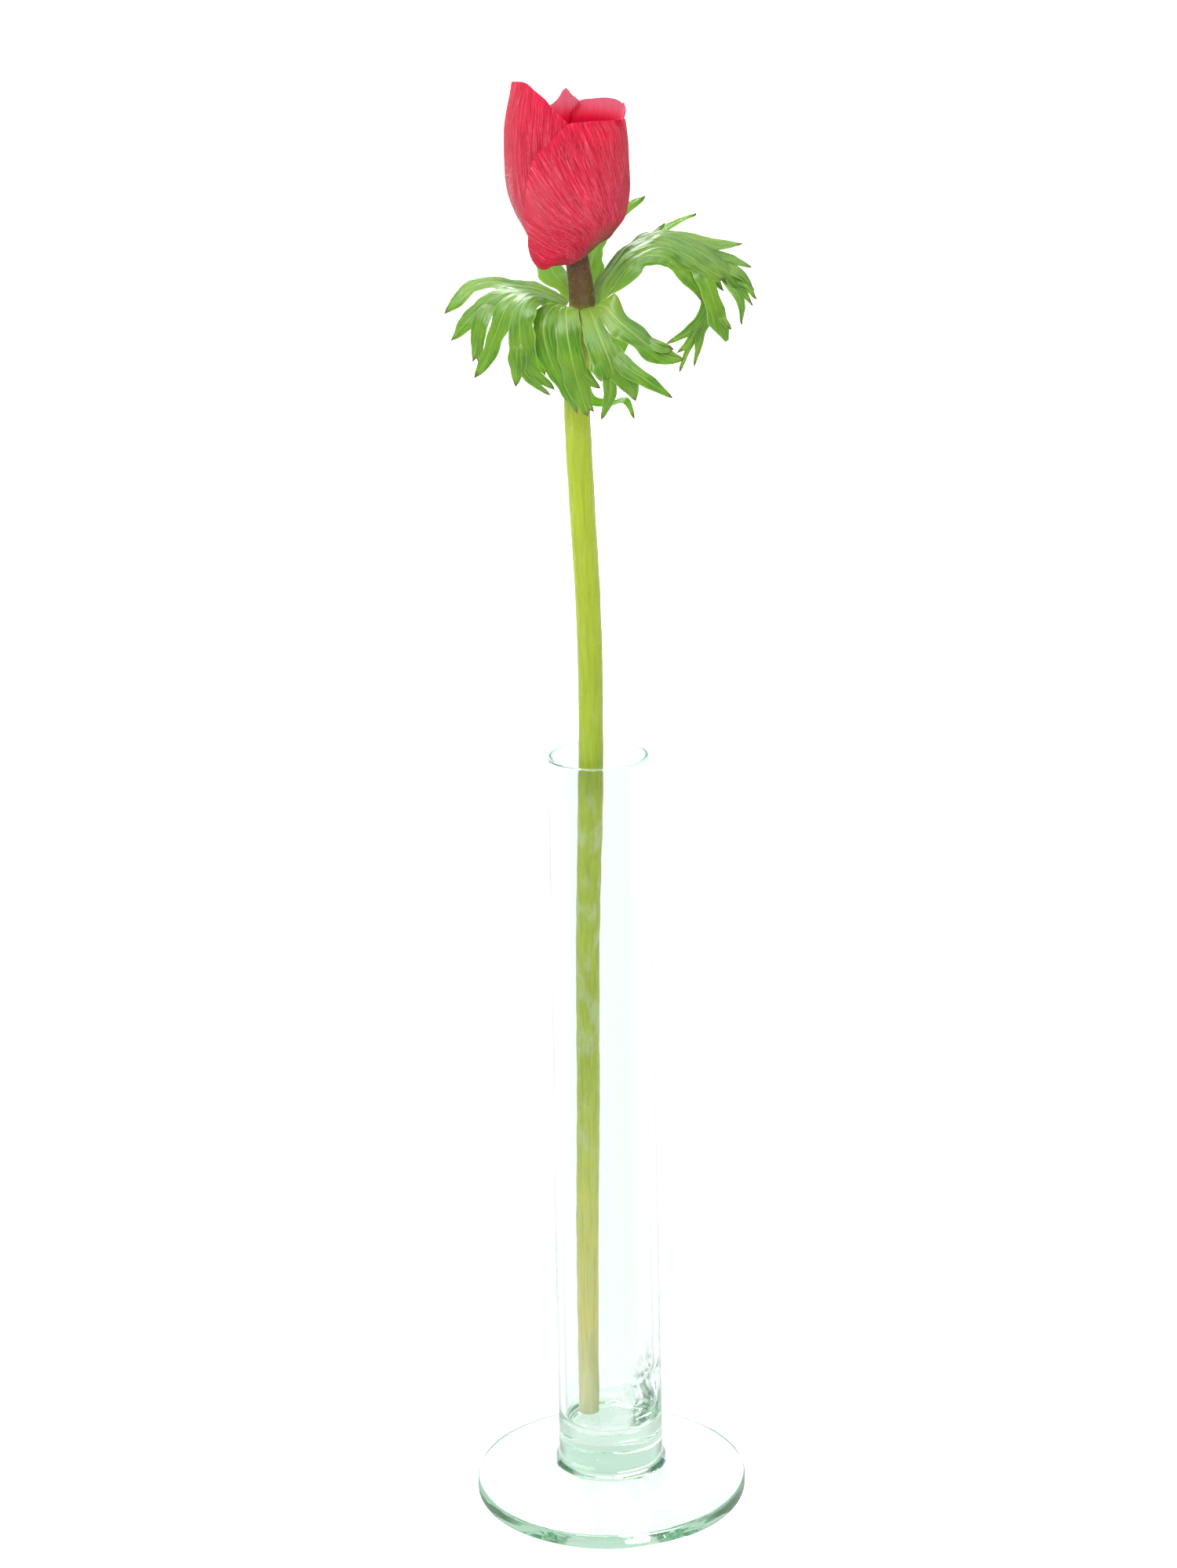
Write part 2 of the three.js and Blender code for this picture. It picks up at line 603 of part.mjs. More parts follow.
const PETALS = {
  petal_front: {
    layer: 0,
    left: [[1, -60], [5, -64], [9, -70], [13, -57], [16, -48], [21, -42], [26, -36], [30, -31],
      [33, -25], [36, -12], [39.4, 1], [40.3, 9]],
    right: [[1, 75], [10, 88], [30, 88], [40, 84]],
    top: [[0, 40.3], [0.5, 40], [1, 39.2]],
    fold: [[0, 0], [0.12, 0], [0.3, 0.9], [0.7, 0.9], [0.85, 0.1], [1, 0]],
  },
  petal_back: {
    layer: 0,
    left: [[1, 95], [10, 100], [32, 102], [39, 125]],
    right: [[1, 225], [10, 222], [30, 214], [39, 200]],
    top: [[0, 37], [0.5, 38.5], [1, 37]],
  },
  petal_left: {
    layer: 1,
    left: [[2, -120], [12, -140], [50, -142]],
    right: [[2, -5], [30, 10], [50, 10]],
    top: [[0, 39], [0.15, 44], [0.33, 47.7], [0.49, 48.7], [0.63, 48.7], [0.74, 47], [0.82, 45.2],
      [0.87, 43.1], [0.93, 41.2], [1, 39]],
    fold: [[0, 0], [0.12, 0.1], [0.3, 1.6], [0.6, 1.5], [0.8, 0.5], [0.9, 0], [1, 0]],
    foldFrom: 0.75,
  },
  petal_back_right: {
    layer: 1,
    left: [[2, 70], [20, 64], [36, 68], [42, 80]],
    right: [[2, 195], [20, 200], [42, 166]],
    top: [[0, 41.7], [0.2, 42.2], [0.45, 42.8], [0.6, 42.4], [0.8, 42.6], [1, 40]],
    fold: [[0, -1.3], [0.3, -1.3], [0.6, -0.6], [1, -0.3]],
    foldFrom: 0.96,
  },
  petal_point: {
    layer: 2,
    left: [[2, 150], [20, 146], [36, 148], [44.7, 171]],
    right: [[2, 255], [20, 262], [34, 225], [40, 196], [44.7, 176]],
    top: [[0, 43.5], [0.5, 44.7], [1, 43.5]],
  },
  petal_inner_front: {
    layer: 2,
    left: [[2, -60], [20, -80], [38, -66]],
    right: [[2, 50], [20, 70], [38, 58]],
    top: [[0, 35], [0.5, 38.5], [1, 36]],
    fold: [[0, 0], [0.2, 0.2], [0.5, 3.6], [0.8, 0.2], [1, 0]],
    foldFrom: 0.6,
  },
  petal_inner_right: {
    layer: 3,
    left: [[2, 40], [20, 38], [28, 50], [38, 74]],
    right: [[2, 150], [20, 158], [38, 130]],
    top: [[0, 34], [0.5, 37.5], [1, 35]],
    fold: [[0, 0.4], [0.25, 2.8], [0.5, 4.8], [0.75, 2.8], [1, 0.4]],
    foldFrom: 0.55,
  },
  petal_inner_left: {
    layer: 3,
    left: [[2, -165], [20, -168], [40, -140]],
    right: [[2, -40], [20, -40], [28, -54], [40, -86]],
    top: [[0, 37], [0.5, 39.5], [1, 37]],
    fold: [[0, 0.4], [0.25, 2.4], [0.5, 4], [0.75, 2.4], [1, 0.4]],
    foldFrom: 0.6,
  },
};

// Flower centre: the receptacle that the petals grow from, the dark dome, and a ring of stamens
function flowerCentre() {
  const [domeMiddle, domeRadius] = [11, 4.4];
  const seat = Math.sqrt(domeRadius ** 2 - RECEPTACLE_RADIUS ** 2);
  const dome = Array.from({ length: 7 }, (_, i) => {
    const low = Math.atan2(-seat, RECEPTACLE_RADIUS);
    const a = low + ((Math.PI / 2 - low) * i) / 6;
    return new THREE.Vector2(i === 6 ? 0 : domeRadius * Math.cos(a), domeMiddle + domeRadius * Math.sin(a));
  });
  const column = [0, RECEPTACLE_RADIUS].map((r) => new THREE.Vector2(r, RECEPTACLE_GAP));
  const core = new THREE.LatheGeometry([...column, ...dome], 14).rotateX(Math.PI / 2);
  const stamen = [[0, 0], [0.35, 0], [0.35, 4.4], [0.8, 5.2], [0.7, 6.6], [0, 7.1]];
  const stamens = Array.from({ length: STAMENS }, (_, i) => {
    const turn = radians(137.5 * i);
    const lean = radians([52, 40, 30][i % 3]);
    const away = new THREE.Vector3().setFromSphericalCoords(1, lean, turn);
    away.set(away.x, away.z, away.y);
    const shape = new THREE.LatheGeometry(stamen.map(([r, z]) => new THREE.Vector2(r, z)), 4);
    shape.applyQuaternion(new THREE.Quaternion().setFromUnitVectors(new THREE.Vector3(0, 1, 0), away));
    return shape.translate(1.6 * Math.sin(turn), 1.6 * Math.cos(turn), 8.4);
  });
  const whole = grown([core, ...stamens]);
  const place = whole.getAttribute("position");
  for (let i = 0; i < place.count; i++) {
    place.setX(i, place.getX(i) + budLean(place.getZ(i)));
  }
  return whole.translate(...FLOWER_BASE);
}

const LEAF_LOOK = ["#5f9a34", 0.5];
const PETAL_LOOK = ["#d2294f", 0.55];

const flower = new THREE.Group();
flower.add(meshOf("stem", stem(), "#a9bd3c", 0.5));
const leaves = { bract_left: LEFT_LEAF, bract_right: RIGHT_LEAF, bract_back: BACK_LEAF };
for (const [name, fingers] of Object.entries(leaves)) {
  flower.add(meshOf(name, grown(fingers.map(finger)), ...LEAF_LOOK));
}
for (const [name, shape] of Object.entries(PETALS)) {
  flower.add(meshOf(name, petal(shape), ...PETAL_LOOK));
}
flower.add(meshOf("flower_centre", flowerCentre(), "#2a1838", 0.7));

const part = new THREE.Group();
part.add(meshOf("vase", vase(), "#dcefe4", 0.03, { transparent: true, opacity: 0.35 }));
part.add(flower);

export default part;
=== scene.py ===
import math

import bpy
import numpy as np
from mathutils import Matrix, Vector

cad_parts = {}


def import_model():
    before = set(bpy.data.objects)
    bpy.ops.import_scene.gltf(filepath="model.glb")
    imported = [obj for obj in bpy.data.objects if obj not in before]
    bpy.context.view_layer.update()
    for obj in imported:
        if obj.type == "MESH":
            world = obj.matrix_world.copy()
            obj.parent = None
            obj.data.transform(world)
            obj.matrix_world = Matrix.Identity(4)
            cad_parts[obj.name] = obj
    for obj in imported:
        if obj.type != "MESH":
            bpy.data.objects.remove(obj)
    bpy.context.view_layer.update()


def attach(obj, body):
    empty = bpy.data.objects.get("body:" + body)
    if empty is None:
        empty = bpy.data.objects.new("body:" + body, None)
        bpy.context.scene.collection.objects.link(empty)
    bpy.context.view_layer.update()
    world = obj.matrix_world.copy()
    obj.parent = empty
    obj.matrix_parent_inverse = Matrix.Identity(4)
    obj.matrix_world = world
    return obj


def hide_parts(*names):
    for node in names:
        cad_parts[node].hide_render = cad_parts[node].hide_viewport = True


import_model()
scene = bpy.context.scene

MM = 0.001

# Vase
VASE_HEIGHT = 200
FOOT_RADIUS = 34.8
FOOT_EDGE = 4
FOOT_RING = 4  # how wide the ring is that it stands on
FOOT_CORNER = 0.7
TUBE_FROM = 9.5
TAPER_FROM = 60
TUBE_RADIUS_LOW = 13.35
TUBE_RADIUS_TOP = 12.4
TUBE_WALL = 1.5
WALL_SPREAD = 0.3
RIM_WALL = 1.15
FLOOR_HEIGHT = 19
FLOOR_CORNER = 4
FOOT_SLOPE = [[24, 6.2], [18, 7.5], [15.1, 8.3]]
FOOT_HOLLOW = [[0.01, 2.6], [4, 2.5], [8, 2.2], [12, 1.8], [16, 1.35], [20, 0.9], [24, 0.5], [28, 0.15]]
# Where the tube meets the foot: how far out of the tube, and how far above its start
JUNCTION = [[1, -0.9], [0.5, -0.4], [0.15, 0.2], [0, 1]]
VASE_WOBBLE = 0.06
FLOOR_TILT = 0.05
POOLED = 0.5  # how uneven the bore is at its lower right
# Painted light: once light has turned this often inside the glass, the glass glows, dim green at its left
# and pale green elsewhere
GLASS_TURNS = 7.5
GLASS_GLOW = [(0.27, (0.03, 0.045, 0.04)), (0.42, (0.145, 0.17, 0.162))]
VASE_SIDES = 160

# Stem, with the joint where the ruff of leaves grows
STEM_PATH = [[-5.6, 3.4, 20], [-5.2, 3, 64], [-4.2, 1, 108.5], [-3.4, -2, 152], [-1.9, -6.9, 198.5],
             [-1.7, -9, 235], [-3.1, -11.5, 274], [-3.4, -12.9, 295], [-1.9, -14, 313.5],
             [-3.1, -14.9, 326.4]]
STEM_RADII = [[r] for r in [2.75, 2.85, 2.9, 2.9, 3, 3, 3.05, 3.1, 3.05, 2.65]]
COLOUR_HEIGHT = 330
JOINT = [-1.9, -14, 313.5]
LEAF_ROOT = 4

# Flower, measured up from its base
FLOWER_BASE = np.array([-3, -14.7, 322.9])
RECEPTACLE_RADIUS = 3
PETAL_START = 0.25
PETAL_START_STEP = 0.35
LAYER_STEP = 1.2
BUD_PROFILE = [[2.5, 0], [6, 1], [9, 3.2], [11.5, 7], [13.2, 12], [14.3, 18], [14.6, 25], [14.2, 35],
               [13.3, 45]]
BUD_LEAN = -2.5
BUD_LEAN_RISE = 8
HANG_LEFT = 0.25
HANG_RIGHT = 0.21
HANG_ROOT = 0.25
RISE_FRONT = 0.18
BASE_LIFT = 1.42
BASE_LIFT_FADE = [7.7, 17.5]
HANG_FADE = [7.5, 25]
CORNER_DROP = 3.16
CORNER_ANGLE = -58
CORNER_SPREAD = 35
CORNER_AT = 7.6
CORNER_LENGTH = 2.8
TUCK = 1.5
TUCK_FROM = [4, 9]
TUCK_TO = [13, 24]
BULGE_RIGHT = 0.7
BULGE_FROM = [6, 14]
BULGE_TO = [18, 30]


# Curves and sums


def along(points, t):
    """Points at t (0 to 1) on the smooth curve through a list of points."""
    p = np.asarray(points, float)
    last = len(p) - 1
    place = np.clip(np.asarray(t, float), 0, 1) * last
    i = np.minimum(place.astype(int), last - 1)
    f = (place - i)[..., None]
    a, b, c, d = (p[np.clip(i + k, 0, last)] for k in (-1, 0, 1, 2))
    inward, outward = (c - a) / 2, (d - b) / 2
    bend = 2 * (b - c) + inward + outward
    swell = 3 * (c - b) - 2 * inward - outward
    return ((bend * f + swell) * f + inward) * f + b


def between(rows, place):
    """Values at a place in a table of [place, value] rows, on a smooth curve through them."""
    x, y = np.array(rows, float).T
    k = np.arange(len(x))
    low, high = np.maximum(k - 1, 0), np.minimum(k + 1, len(x) - 1)
    slope = (y[high] - y[low]) / (x[high] - x[low])
    at = np.clip(place, x[0], x[-1])
    i = np.clip(np.searchsorted(x, at), 1, len(x) - 1)
    run = x[i] - x[i - 1]
    f = (at - x[i - 1]) / run
    leave, arrive = slope[i - 1] * run, slope[i] * run
    bend = 2 * (y[i - 1] - y[i]) + leave + arrive
    swell = 3 * (y[i] - y[i - 1]) - 2 * leave - arrive
    return ((bend * f + swell) * f + leave) * f + y[i - 1]


def smooth(x, low, high):
    """0 below low and 1 above high, with a smooth rise between them."""
    f = np.clip((np.asarray(x, float) - low) / (high - low), 0, 1)
    return f * f * (3 - 2 * f)


def fade(x, low, high):
    """1 below low and 0 above high."""
    return 1 - smooth(x, low, high)


def around(count):
    """Angles evenly round a circle."""
    return np.linspace(0, 2 * math.pi, count, endpoint=False)


def unit(v):
    return v / np.maximum(np.linalg.norm(v, axis=-1, keepdims=True), 1e-9)


def lengths_along(points):
    """Length from the first point of a path to each of its points."""
    return np.concatenate([[0], np.cumsum(np.linalg.norm(np.diff(points, axis=0), axis=1))])


def wavy(x, y, seed, size, count=9):
    """A smooth random pattern from about -1 to 1, with features of about this size."""
    rng = np.random.default_rng(seed)
    turn = rng.uniform(0, 2 * math.pi, count)
    wave = 2 * math.pi / (size * rng.uniform(0.7, 1.9, count))
    phase = rng.uniform(0, 2 * math.pi, count)
    waves = (np.sin(w * (x * math.cos(a) + y * math.sin(a)) + p) for w, a, p in zip(wave, turn, phase))
    return sum(waves) / math.sqrt(count)


# Meshes


def grid_faces(rows, columns, first=0, closed=False, flip=False):
    """Quads over a grid of points that are numbered row by row."""
    start = np.arange(rows - 1)[:, None] * columns + first
    j = np.arange(columns if closed else columns - 1)[None, :]
    k = (j + 1) % columns
    quads = np.stack([start + j, start + k, start + columns + k, start + columns + j], -1).reshape(-1, 4)
    return quads[:, ::-1] if flip else quads


def closed_sheet(outer, inner):
    """Points and quads of a closed skin over a grid of outer points and the matching inner ones."""
    rows, columns = outer.shape[:2]
    n = rows * columns
    index = np.arange(n).reshape(rows, columns)
    rim = np.concatenate([index[0, :-1], index[:-1, -1], index[-1, :0:-1], index[:0:-1, 0]])
    after = np.roll(rim, -1)
    side = np.stack([after, rim, rim + n, after + n], -1)
    faces = [grid_faces(rows, columns), grid_faces(rows, columns, n, flip=True), side]
    return np.concatenate([outer.reshape(-1, 3), inner.reshape(-1, 3)]), np.concatenate(faces)


def joined(parts):
    """Several (points, quads) pairs as one."""
    points, faces, first = [], [], 0
    for p, f in parts:
        points.append(p)
        faces.append(f + first)
        first += len(p)
    return np.concatenate(points), np.concatenate(faces)


def mesh_of(name, points, faces, scale=MM):
    """A smooth object from points in millimetres and faces that all have the same number of corners."""
    mesh = bpy.data.meshes.new(name)
    corners = faces.shape[1]
    mesh.vertices.add(len(points))
    mesh.vertices.foreach_set("co", (points * scale).astype(np.float32).ravel())
    mesh.loops.add(faces.size)
    mesh.loops.foreach_set("vertex_index", faces.astype(np.int32).ravel())
    mesh.polygons.add(len(faces))
    mesh.polygons.foreach_set("loop_start", np.arange(0, faces.size, corners, dtype=np.int32))
    mesh.polygons.foreach_set("use_smooth", np.ones(len(faces), bool))
    mesh.update(calc_edges=True)
    mesh.validate()
    piece = bpy.data.objects.new(name, mesh)
    scene.collection.objects.link(piece)
    return piece


def attribute(piece, name, values):
    """Values kept on the points, for the material to read: numbers, or rows of three."""
    values = np.asarray(values, np.float32)
    kind, key = ("FLOAT", "value") if values.ndim == 1 else ("FLOAT_VECTOR", "vector")
    made = piece.data.attributes.new(name, kind, "POINT")
    made.data.foreach_set(key, values.ravel())


def finish_piece(piece, slot, material, *nodes):
    """Gives a piece its look and its body, and hides the nodes that it takes the place of. The slot is not
    used.
    """
    piece.data.materials.append(material)
    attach(piece, "root")
    if nodes:
        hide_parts(*nodes)
    return piece


def ribbons(middle, ups, width):
    """Fine tapered ribbons along rows of points, each facing its own way up."""
    joints = middle.shape[1] - 1
    t = np.linspace(0, 1, joints + 1)[None, :, None]
    ways = np.gradient(middle, axis=1)
    half = unit(np.cross(ways, ups[:, None])) * (width / 2) * (1 - 0.9 * t**2)
    points = np.stack([middle - half, middle + half], 2).reshape(-1, 3)
    one = np.array([[2 * k, 2 * k + 1, 2 * k + 3, 2 * k + 2] for k in range(joints)])
    faces = (np.arange(len(middle))[:, None, None] * 2 * (joints + 1) + one).reshape(-1, 4)
    return points, faces


# Materials


class Shader:
    """The node tree of a material or a world, with short ways to add to it."""

    def __init__(self, owner):
        owner.use_nodes = True
        self.owner = owner
        self.tree = owner.node_tree
        self.tree.nodes.clear()

    def give(self, socket, value):
        if isinstance(value, bpy.types.NodeSocket):
            self.tree.links.new(value, socket)
        else:
            is_colour = socket.type == "RGBA" and isinstance(value, tuple)
            socket.default_value = (*value[:3], 1) if is_colour else value

    def node(self, kind, inputs=None, **settings):
        made = self.tree.nodes.new("ShaderNode" + kind)
        for key, value in settings.items():
            setattr(made, key, value)
        for key, value in (inputs or {}).items():
            self.give(made.inputs[key], value)
        return made

    def read(self, name, output="Fac"):
        return self.node("Attribute", attribute_name=name).outputs[output]

    def place(self, kind="Object"):
        return self.node("TexCoord").outputs[kind]

    def parts(self, vector):
        return self.node("SeparateXYZ", {0: vector}).outputs

    def rays(self):
        return self.node("LightPath").outputs

    def maths(self, operation, *values):
        return self.node("Math", dict(enumerate(values)), operation=operation).outputs[0]

    def times(self, product, *others):
        for other in others:
            product = self.maths("MULTIPLY", product, other)
        return product

    def sum(self, total, *others):
        for other in others:
            total = self.maths("ADD", total, other)
        return total

    def line(self, value, slope, start):
        return self.maths("MULTIPLY_ADD", value, slope, start)

    def over(self, value, limit):
        """1 where the value is over the limit, and 0 elsewhere."""
        return self.maths("GREATER_THAN", value, limit)

    def ramp(self, value, *stops):
        """Colour by value, from (place, colour) stops. A colour may be one number, for grey."""
        made = self.node("ValToRGB", {"Fac": value})
        points = made.color_ramp.elements
        while len(points) < len(stops):
            points.new(0.5)
        for point, (place, colour) in zip(points, stops):
            point.position = place
            point.color = (colour,) * 3 + (1,) if isinstance(colour, (int, float)) else (*colour, 1)
        return made.outputs["Color"]

    def mix(self, factor, a, b, blend_type="MIX"):
        made = self.node("Mix", {0: factor}, data_type="RGBA", blend_type=blend_type)
        self.give(made.inputs[6], a)
        self.give(made.inputs[7], b)
        return made.outputs[2]

    def scaled(self, vector, *scale):
        return self.node("Mapping", {"Vector": vector, "Scale": scale}).outputs[0]

    def noise(self, vector, scale, detail=2.0, roughness=0.5):
        inputs = {"Vector": vector, "Scale": scale, "Detail": detail, "Roughness": roughness}
        return self.node("TexNoise", inputs).outputs["Fac"]

    def bump(self, height, distance, strength=1.0):
        inputs = {"Height": height, "Distance": distance, "Strength": strength}
        return self.node("Bump", inputs).outputs[0]

    def principled(self, inputs):
        return self.node("BsdfPrincipled", inputs).outputs[0]

    def blend(self, share, a, b):
        """Two surfaces in one, with this share of the second."""
        return self.node("MixShader", {0: share, 1: a, 2: b}).outputs[0]

    def leafy(self, through, glow, inputs):
        """Thin plant tissue: a lit surface that also lets light through, in a warmer colour."""
        back = {"Color": glow}
        if "Normal" in inputs:
            back["Normal"] = inputs["Normal"]
        seen = self.node("BsdfTranslucent", back).outputs[0]
        return self.finish(self.blend(through, self.principled(inputs), seen))

    def finish(self, surface, **more):
        kind = "World" if isinstance(self.owner, bpy.types.World) else "Material"
        self.node("Output" + kind, {"Surface": surface, **more})
        return self.owner


def shader(name):
    return Shader(bpy.data.materials.new(name))


def srgb(*colour):
    """A colour from 0 to 255 in the photograph's scale, as linear light."""
    shares = [v / 255 for v in colour]
    return tuple(v / 12.92 if v <= 0.04045 else ((v + 0.055) / 1.055) ** 2.4 for v in shares)


def petal_material():
    s = shader("petal")
    weave = s.read("weave", "Vector")
    streak = s.noise(s.scaled(weave, 2.6, 0.1, 1), 1.0, 4.0, 0.66)
    fine = s.noise(s.scaled(weave, 6.5, 0.24, 1), 1.0, 3.0, 0.6)
    patch = s.noise(s.scaled(weave, 0.16, 0.1, 1), 1.0)
    broad = s.noise(s.scaled(weave, 1.3, 0.07, 1), 1.0)
    strands = s.sum(s.times(streak, 0.55), s.times(fine, 0.45))
    colour = s.ramp(
        strands,
        (0.38, srgb(150, 0, 36)),
        (0.46, srgb(196, 8, 54)),
        (0.53, srgb(220, 26, 72)),
        (0.59, srgb(238, 76, 106)),
        (0.66, srgb(250, 156, 170)),
    )
    colour = s.mix(s.ramp(patch, (0.4, 0.0), (0.65, 0.35)), colour, srgb(190, 16, 54))
    # Pale greyish pink in stripes where the petals are fuzzy: partly the hairs' own colour, partly a painted
    # sheen
    fuzz_and_sheen = s.times(s.read("pale"), s.ramp(broad, (0.4, 0.15), (0.58, 1.0)))
    colour = s.mix(fuzz_and_sheen, colour, srgb(200, 128, 136))
    colour = s.mix(s.read("base"), colour, srgb(150, 90, 74))
    # The inner face: deep pink, painted pale pink towards the top as painted light falling into the mouth
    inner = s.mix(s.ramp(fine, (0.4, 0.0), (0.7, 0.5)), srgb(255, 4, 78), srgb(255, 58, 114))
    outer = s.mix(s.ramp(fine, (0.4, 0.0), (0.7, 0.6)), srgb(255, 166, 204), srgb(255, 212, 232))
    colour = s.mix(s.read("inside"), colour, s.mix(s.read("rim"), inner, outer))
    through = s.line(s.read("inside"), 0.3, 0.3)
    return s.leafy(through, s.mix(0.5, colour, srgb(255, 30, 96)), {
        "Base Color": colour, "Roughness": 0.5, "Normal": s.bump(strands, 0.0004),
        "Specular IOR Level": 0.3, "Sheen Weight": 0.12, "Sheen Roughness": 0.35,
        "Sheen Tint": srgb(255, 190, 205),
    })


def hair_material(name, dark, pale):
    s = shader(name)
    tone = s.mix(s.noise(s.place(), 900.0), srgb(*dark), srgb(*pale))
    return s.leafy(0.45, tone, {"Base Color": tone, "Roughness": 0.4})


def leaf_material():
    s = shader("leaf")
    blade = s.read("blade", "Vector")
    parts = s.parts(blade)
    across, share = (s.maths("ABSOLUTE", parts[k]) for k in (0, 2))
    stripe = s.noise(s.scaled(blade, 2.2, 0.12, 0), 1.0, 4.0, 0.6)
    cloud = s.noise(s.place(), 150.0, 3.0)
    rib = s.ramp(across, (0.07, 1.0), (0.2, 0.0))
    edge = s.ramp(share, (0.9, 0.0), (0.985, 1.0))
    vein = s.ramp(s.maths("ABSOLUTE", s.maths("SUBTRACT", share, 0.46)), (0.0, 0.5), (0.07, 0.0))
    young_and_backlit, behind = s.read("young_and_backlit"), s.read("behind")
    greens = (0.34, srgb(70, 118, 26)), (0.5, srgb(98, 150, 36)), (0.68, srgb(124, 174, 50))
    colour = s.ramp(stripe, *greens)
    colour = s.mix(s.ramp(cloud, (0.42, 0.0), (0.7, 0.45)), colour, srgb(148, 184, 48))
    # Paler near the root: partly young tissue's own colour, partly painted backlight
    colour = s.mix(s.times(young_and_backlit, 0.8), colour, srgb(196, 210, 112))
    # Painted backlight: the back leaf is made brighter yellow-green
    colour = s.mix(s.times(behind, 0.4), colour, srgb(170, 212, 70))
    lower = s.mix(s.ramp(cloud, (0.35, 0.3), (0.7, 0.8)), colour, srgb(136, 170, 104))
    colour = s.mix(s.read("upper"), lower, colour)
    colour = s.mix(s.times(vein, 0.14), colour, srgb(150, 188, 84))
    # Painted highlight: a pale line along each finger's edges
    colour = s.mix(s.times(edge, 0.5), colour, srgb(190, 212, 130))
    clear = s.times(rib, s.line(s.read("rooted"), 0.55, 0.25))
    colour = s.mix(clear, colour, srgb(190, 216, 110))
    colour = s.mix(s.times(s.read("tip"), 0.85), colour, srgb(104, 62, 60))
    relief = s.sum(stripe, s.times(cloud, 0.6), s.times(rib, -0.3))
    through = s.line(s.maths("MAXIMUM", behind, young_and_backlit), 0.28, 0.36)
    return s.leafy(through, s.mix(0.5, colour, srgb(176, 222, 40)), {
        "Base Color": colour, "Roughness": 0.34, "Normal": s.bump(relief, 0.0003, 0.6),
        "Specular IOR Level": 0.7, "Coat Weight": 0.15, "Coat Roughness": 0.3,
        "Sheen Weight": 0.3, "Sheen Roughness": 0.35, "Sheen Tint": srgb(228, 245, 238),
    })


def stem_material():
    s = shader("stem")
    place = s.place()
    stripe = s.noise(s.scaled(place, 1, 1, 0.03), 1500.0, 3.0, 0.6)
    cloud = s.noise(s.scaled(place, 1, 1, 0.5), 240.0, 5.0, 0.65)
    height = s.times(s.parts(place)[2], 1 / (COLOUR_HEIGHT * MM))
    # The stem's colours by height: pale at its foot, green, then brown in the pedicel. Below the rim, at
    # about 0.6, they are painted brighter than above it, as painted light for what the glass holds back
    colour = s.ramp(
        height,
        (0.06, srgb(244, 238, 192)),
        (0.14, srgb(234, 222, 140)),
        (0.25, srgb(214, 216, 106)),
        (0.36, srgb(182, 198, 66)),
        (0.57, srgb(184, 200, 60)),
        (0.61, srgb(142, 164, 28)),
        (0.75, srgb(154, 170, 26)),
        (0.9, srgb(160, 178, 26)),
        (0.94, srgb(150, 156, 44)),
        (0.954, srgb(102, 78, 42)),
        (1.0, srgb(90, 56, 40)),
    )
    darker = s.ramp(stripe, (0.35, 0.22), (0.6, 0.0))
    colour = s.mix(darker, colour, srgb(120, 140, 40), "MULTIPLY")
    in_vase = s.ramp(height, (0.2, 0.4), (0.3, 0.9), (0.56, 0.9), (0.6, 0.1))
    pale = s.times(s.ramp(cloud, (0.5, 0.0), (0.64, 0.55)), in_vase)
    colour = s.mix(pale, colour, srgb(206, 214, 176))
    return s.finish(s.principled({
        "Base Color": colour, "Roughness": 0.42,
        "Normal": s.bump(s.sum(stripe, cloud), 0.0003, 0.6),
        "Subsurface Weight": 0.25, "Subsurface Radius": (1.0, 1.0, 0.3), "Subsurface Scale": 0.0015,
        "Sheen Weight": 0.08, "Sheen Roughness": 0.4, "Sheen Tint": srgb(240, 245, 235),
    }))


def centre_material():
    s = shader("centre")
    grain = s.noise(s.place(), 1600.0, 3.0)
    return s.finish(s.principled({
        "Base Color": s.ramp(grain, (0.35, srgb(24, 12, 34)), (0.65, srgb(70, 42, 88))),
        "Roughness": 0.6, "Normal": s.bump(grain, 0.0004, 0.8), "Sheen Weight": 0.3,
    }))


def painted_shade_patches(s, place):
    """Painted shade on the glass: dark patches low in the bore on its right, and in front at both ends of
    the junction.
    """
    x, y, z = s.parts(place)
    flat = s.node("VectorMath", {0: s.scaled(place, 1, 1, 0)}, operation="LENGTH").outputs["Value"]
    slant = s.maths("SUBTRACT", s.times(x, 3), z)
    near = s.ramp(s.line(slant, 60, 0.72), (0.2, 0.0), (0.7, 1.0))
    in_bore = s.times(s.maths("LESS_THAN", flat, 0.0125), s.over(z, 0.015))
    patch = s.ramp(s.noise(place, 420.0, 4.0, 0.65), (0.43, 0.0), (0.58, 0.95))
    ring = s.ramp(s.times(flat, 50), (0.672, 0.0), (0.69, 1.0), (0.725, 1.0), (0.755, 0.0))
    end = s.ramp(s.times(s.maths("ABSOLUTE", x), 50), (0.41, 0.0), (0.52, 1.0))
    front = s.times(s.maths("LESS_THAN", y, -0.004), s.over(z, 0.006))
    return s.maths("MAXIMUM", s.times(near, in_bore, patch), s.times(ring, end, front))


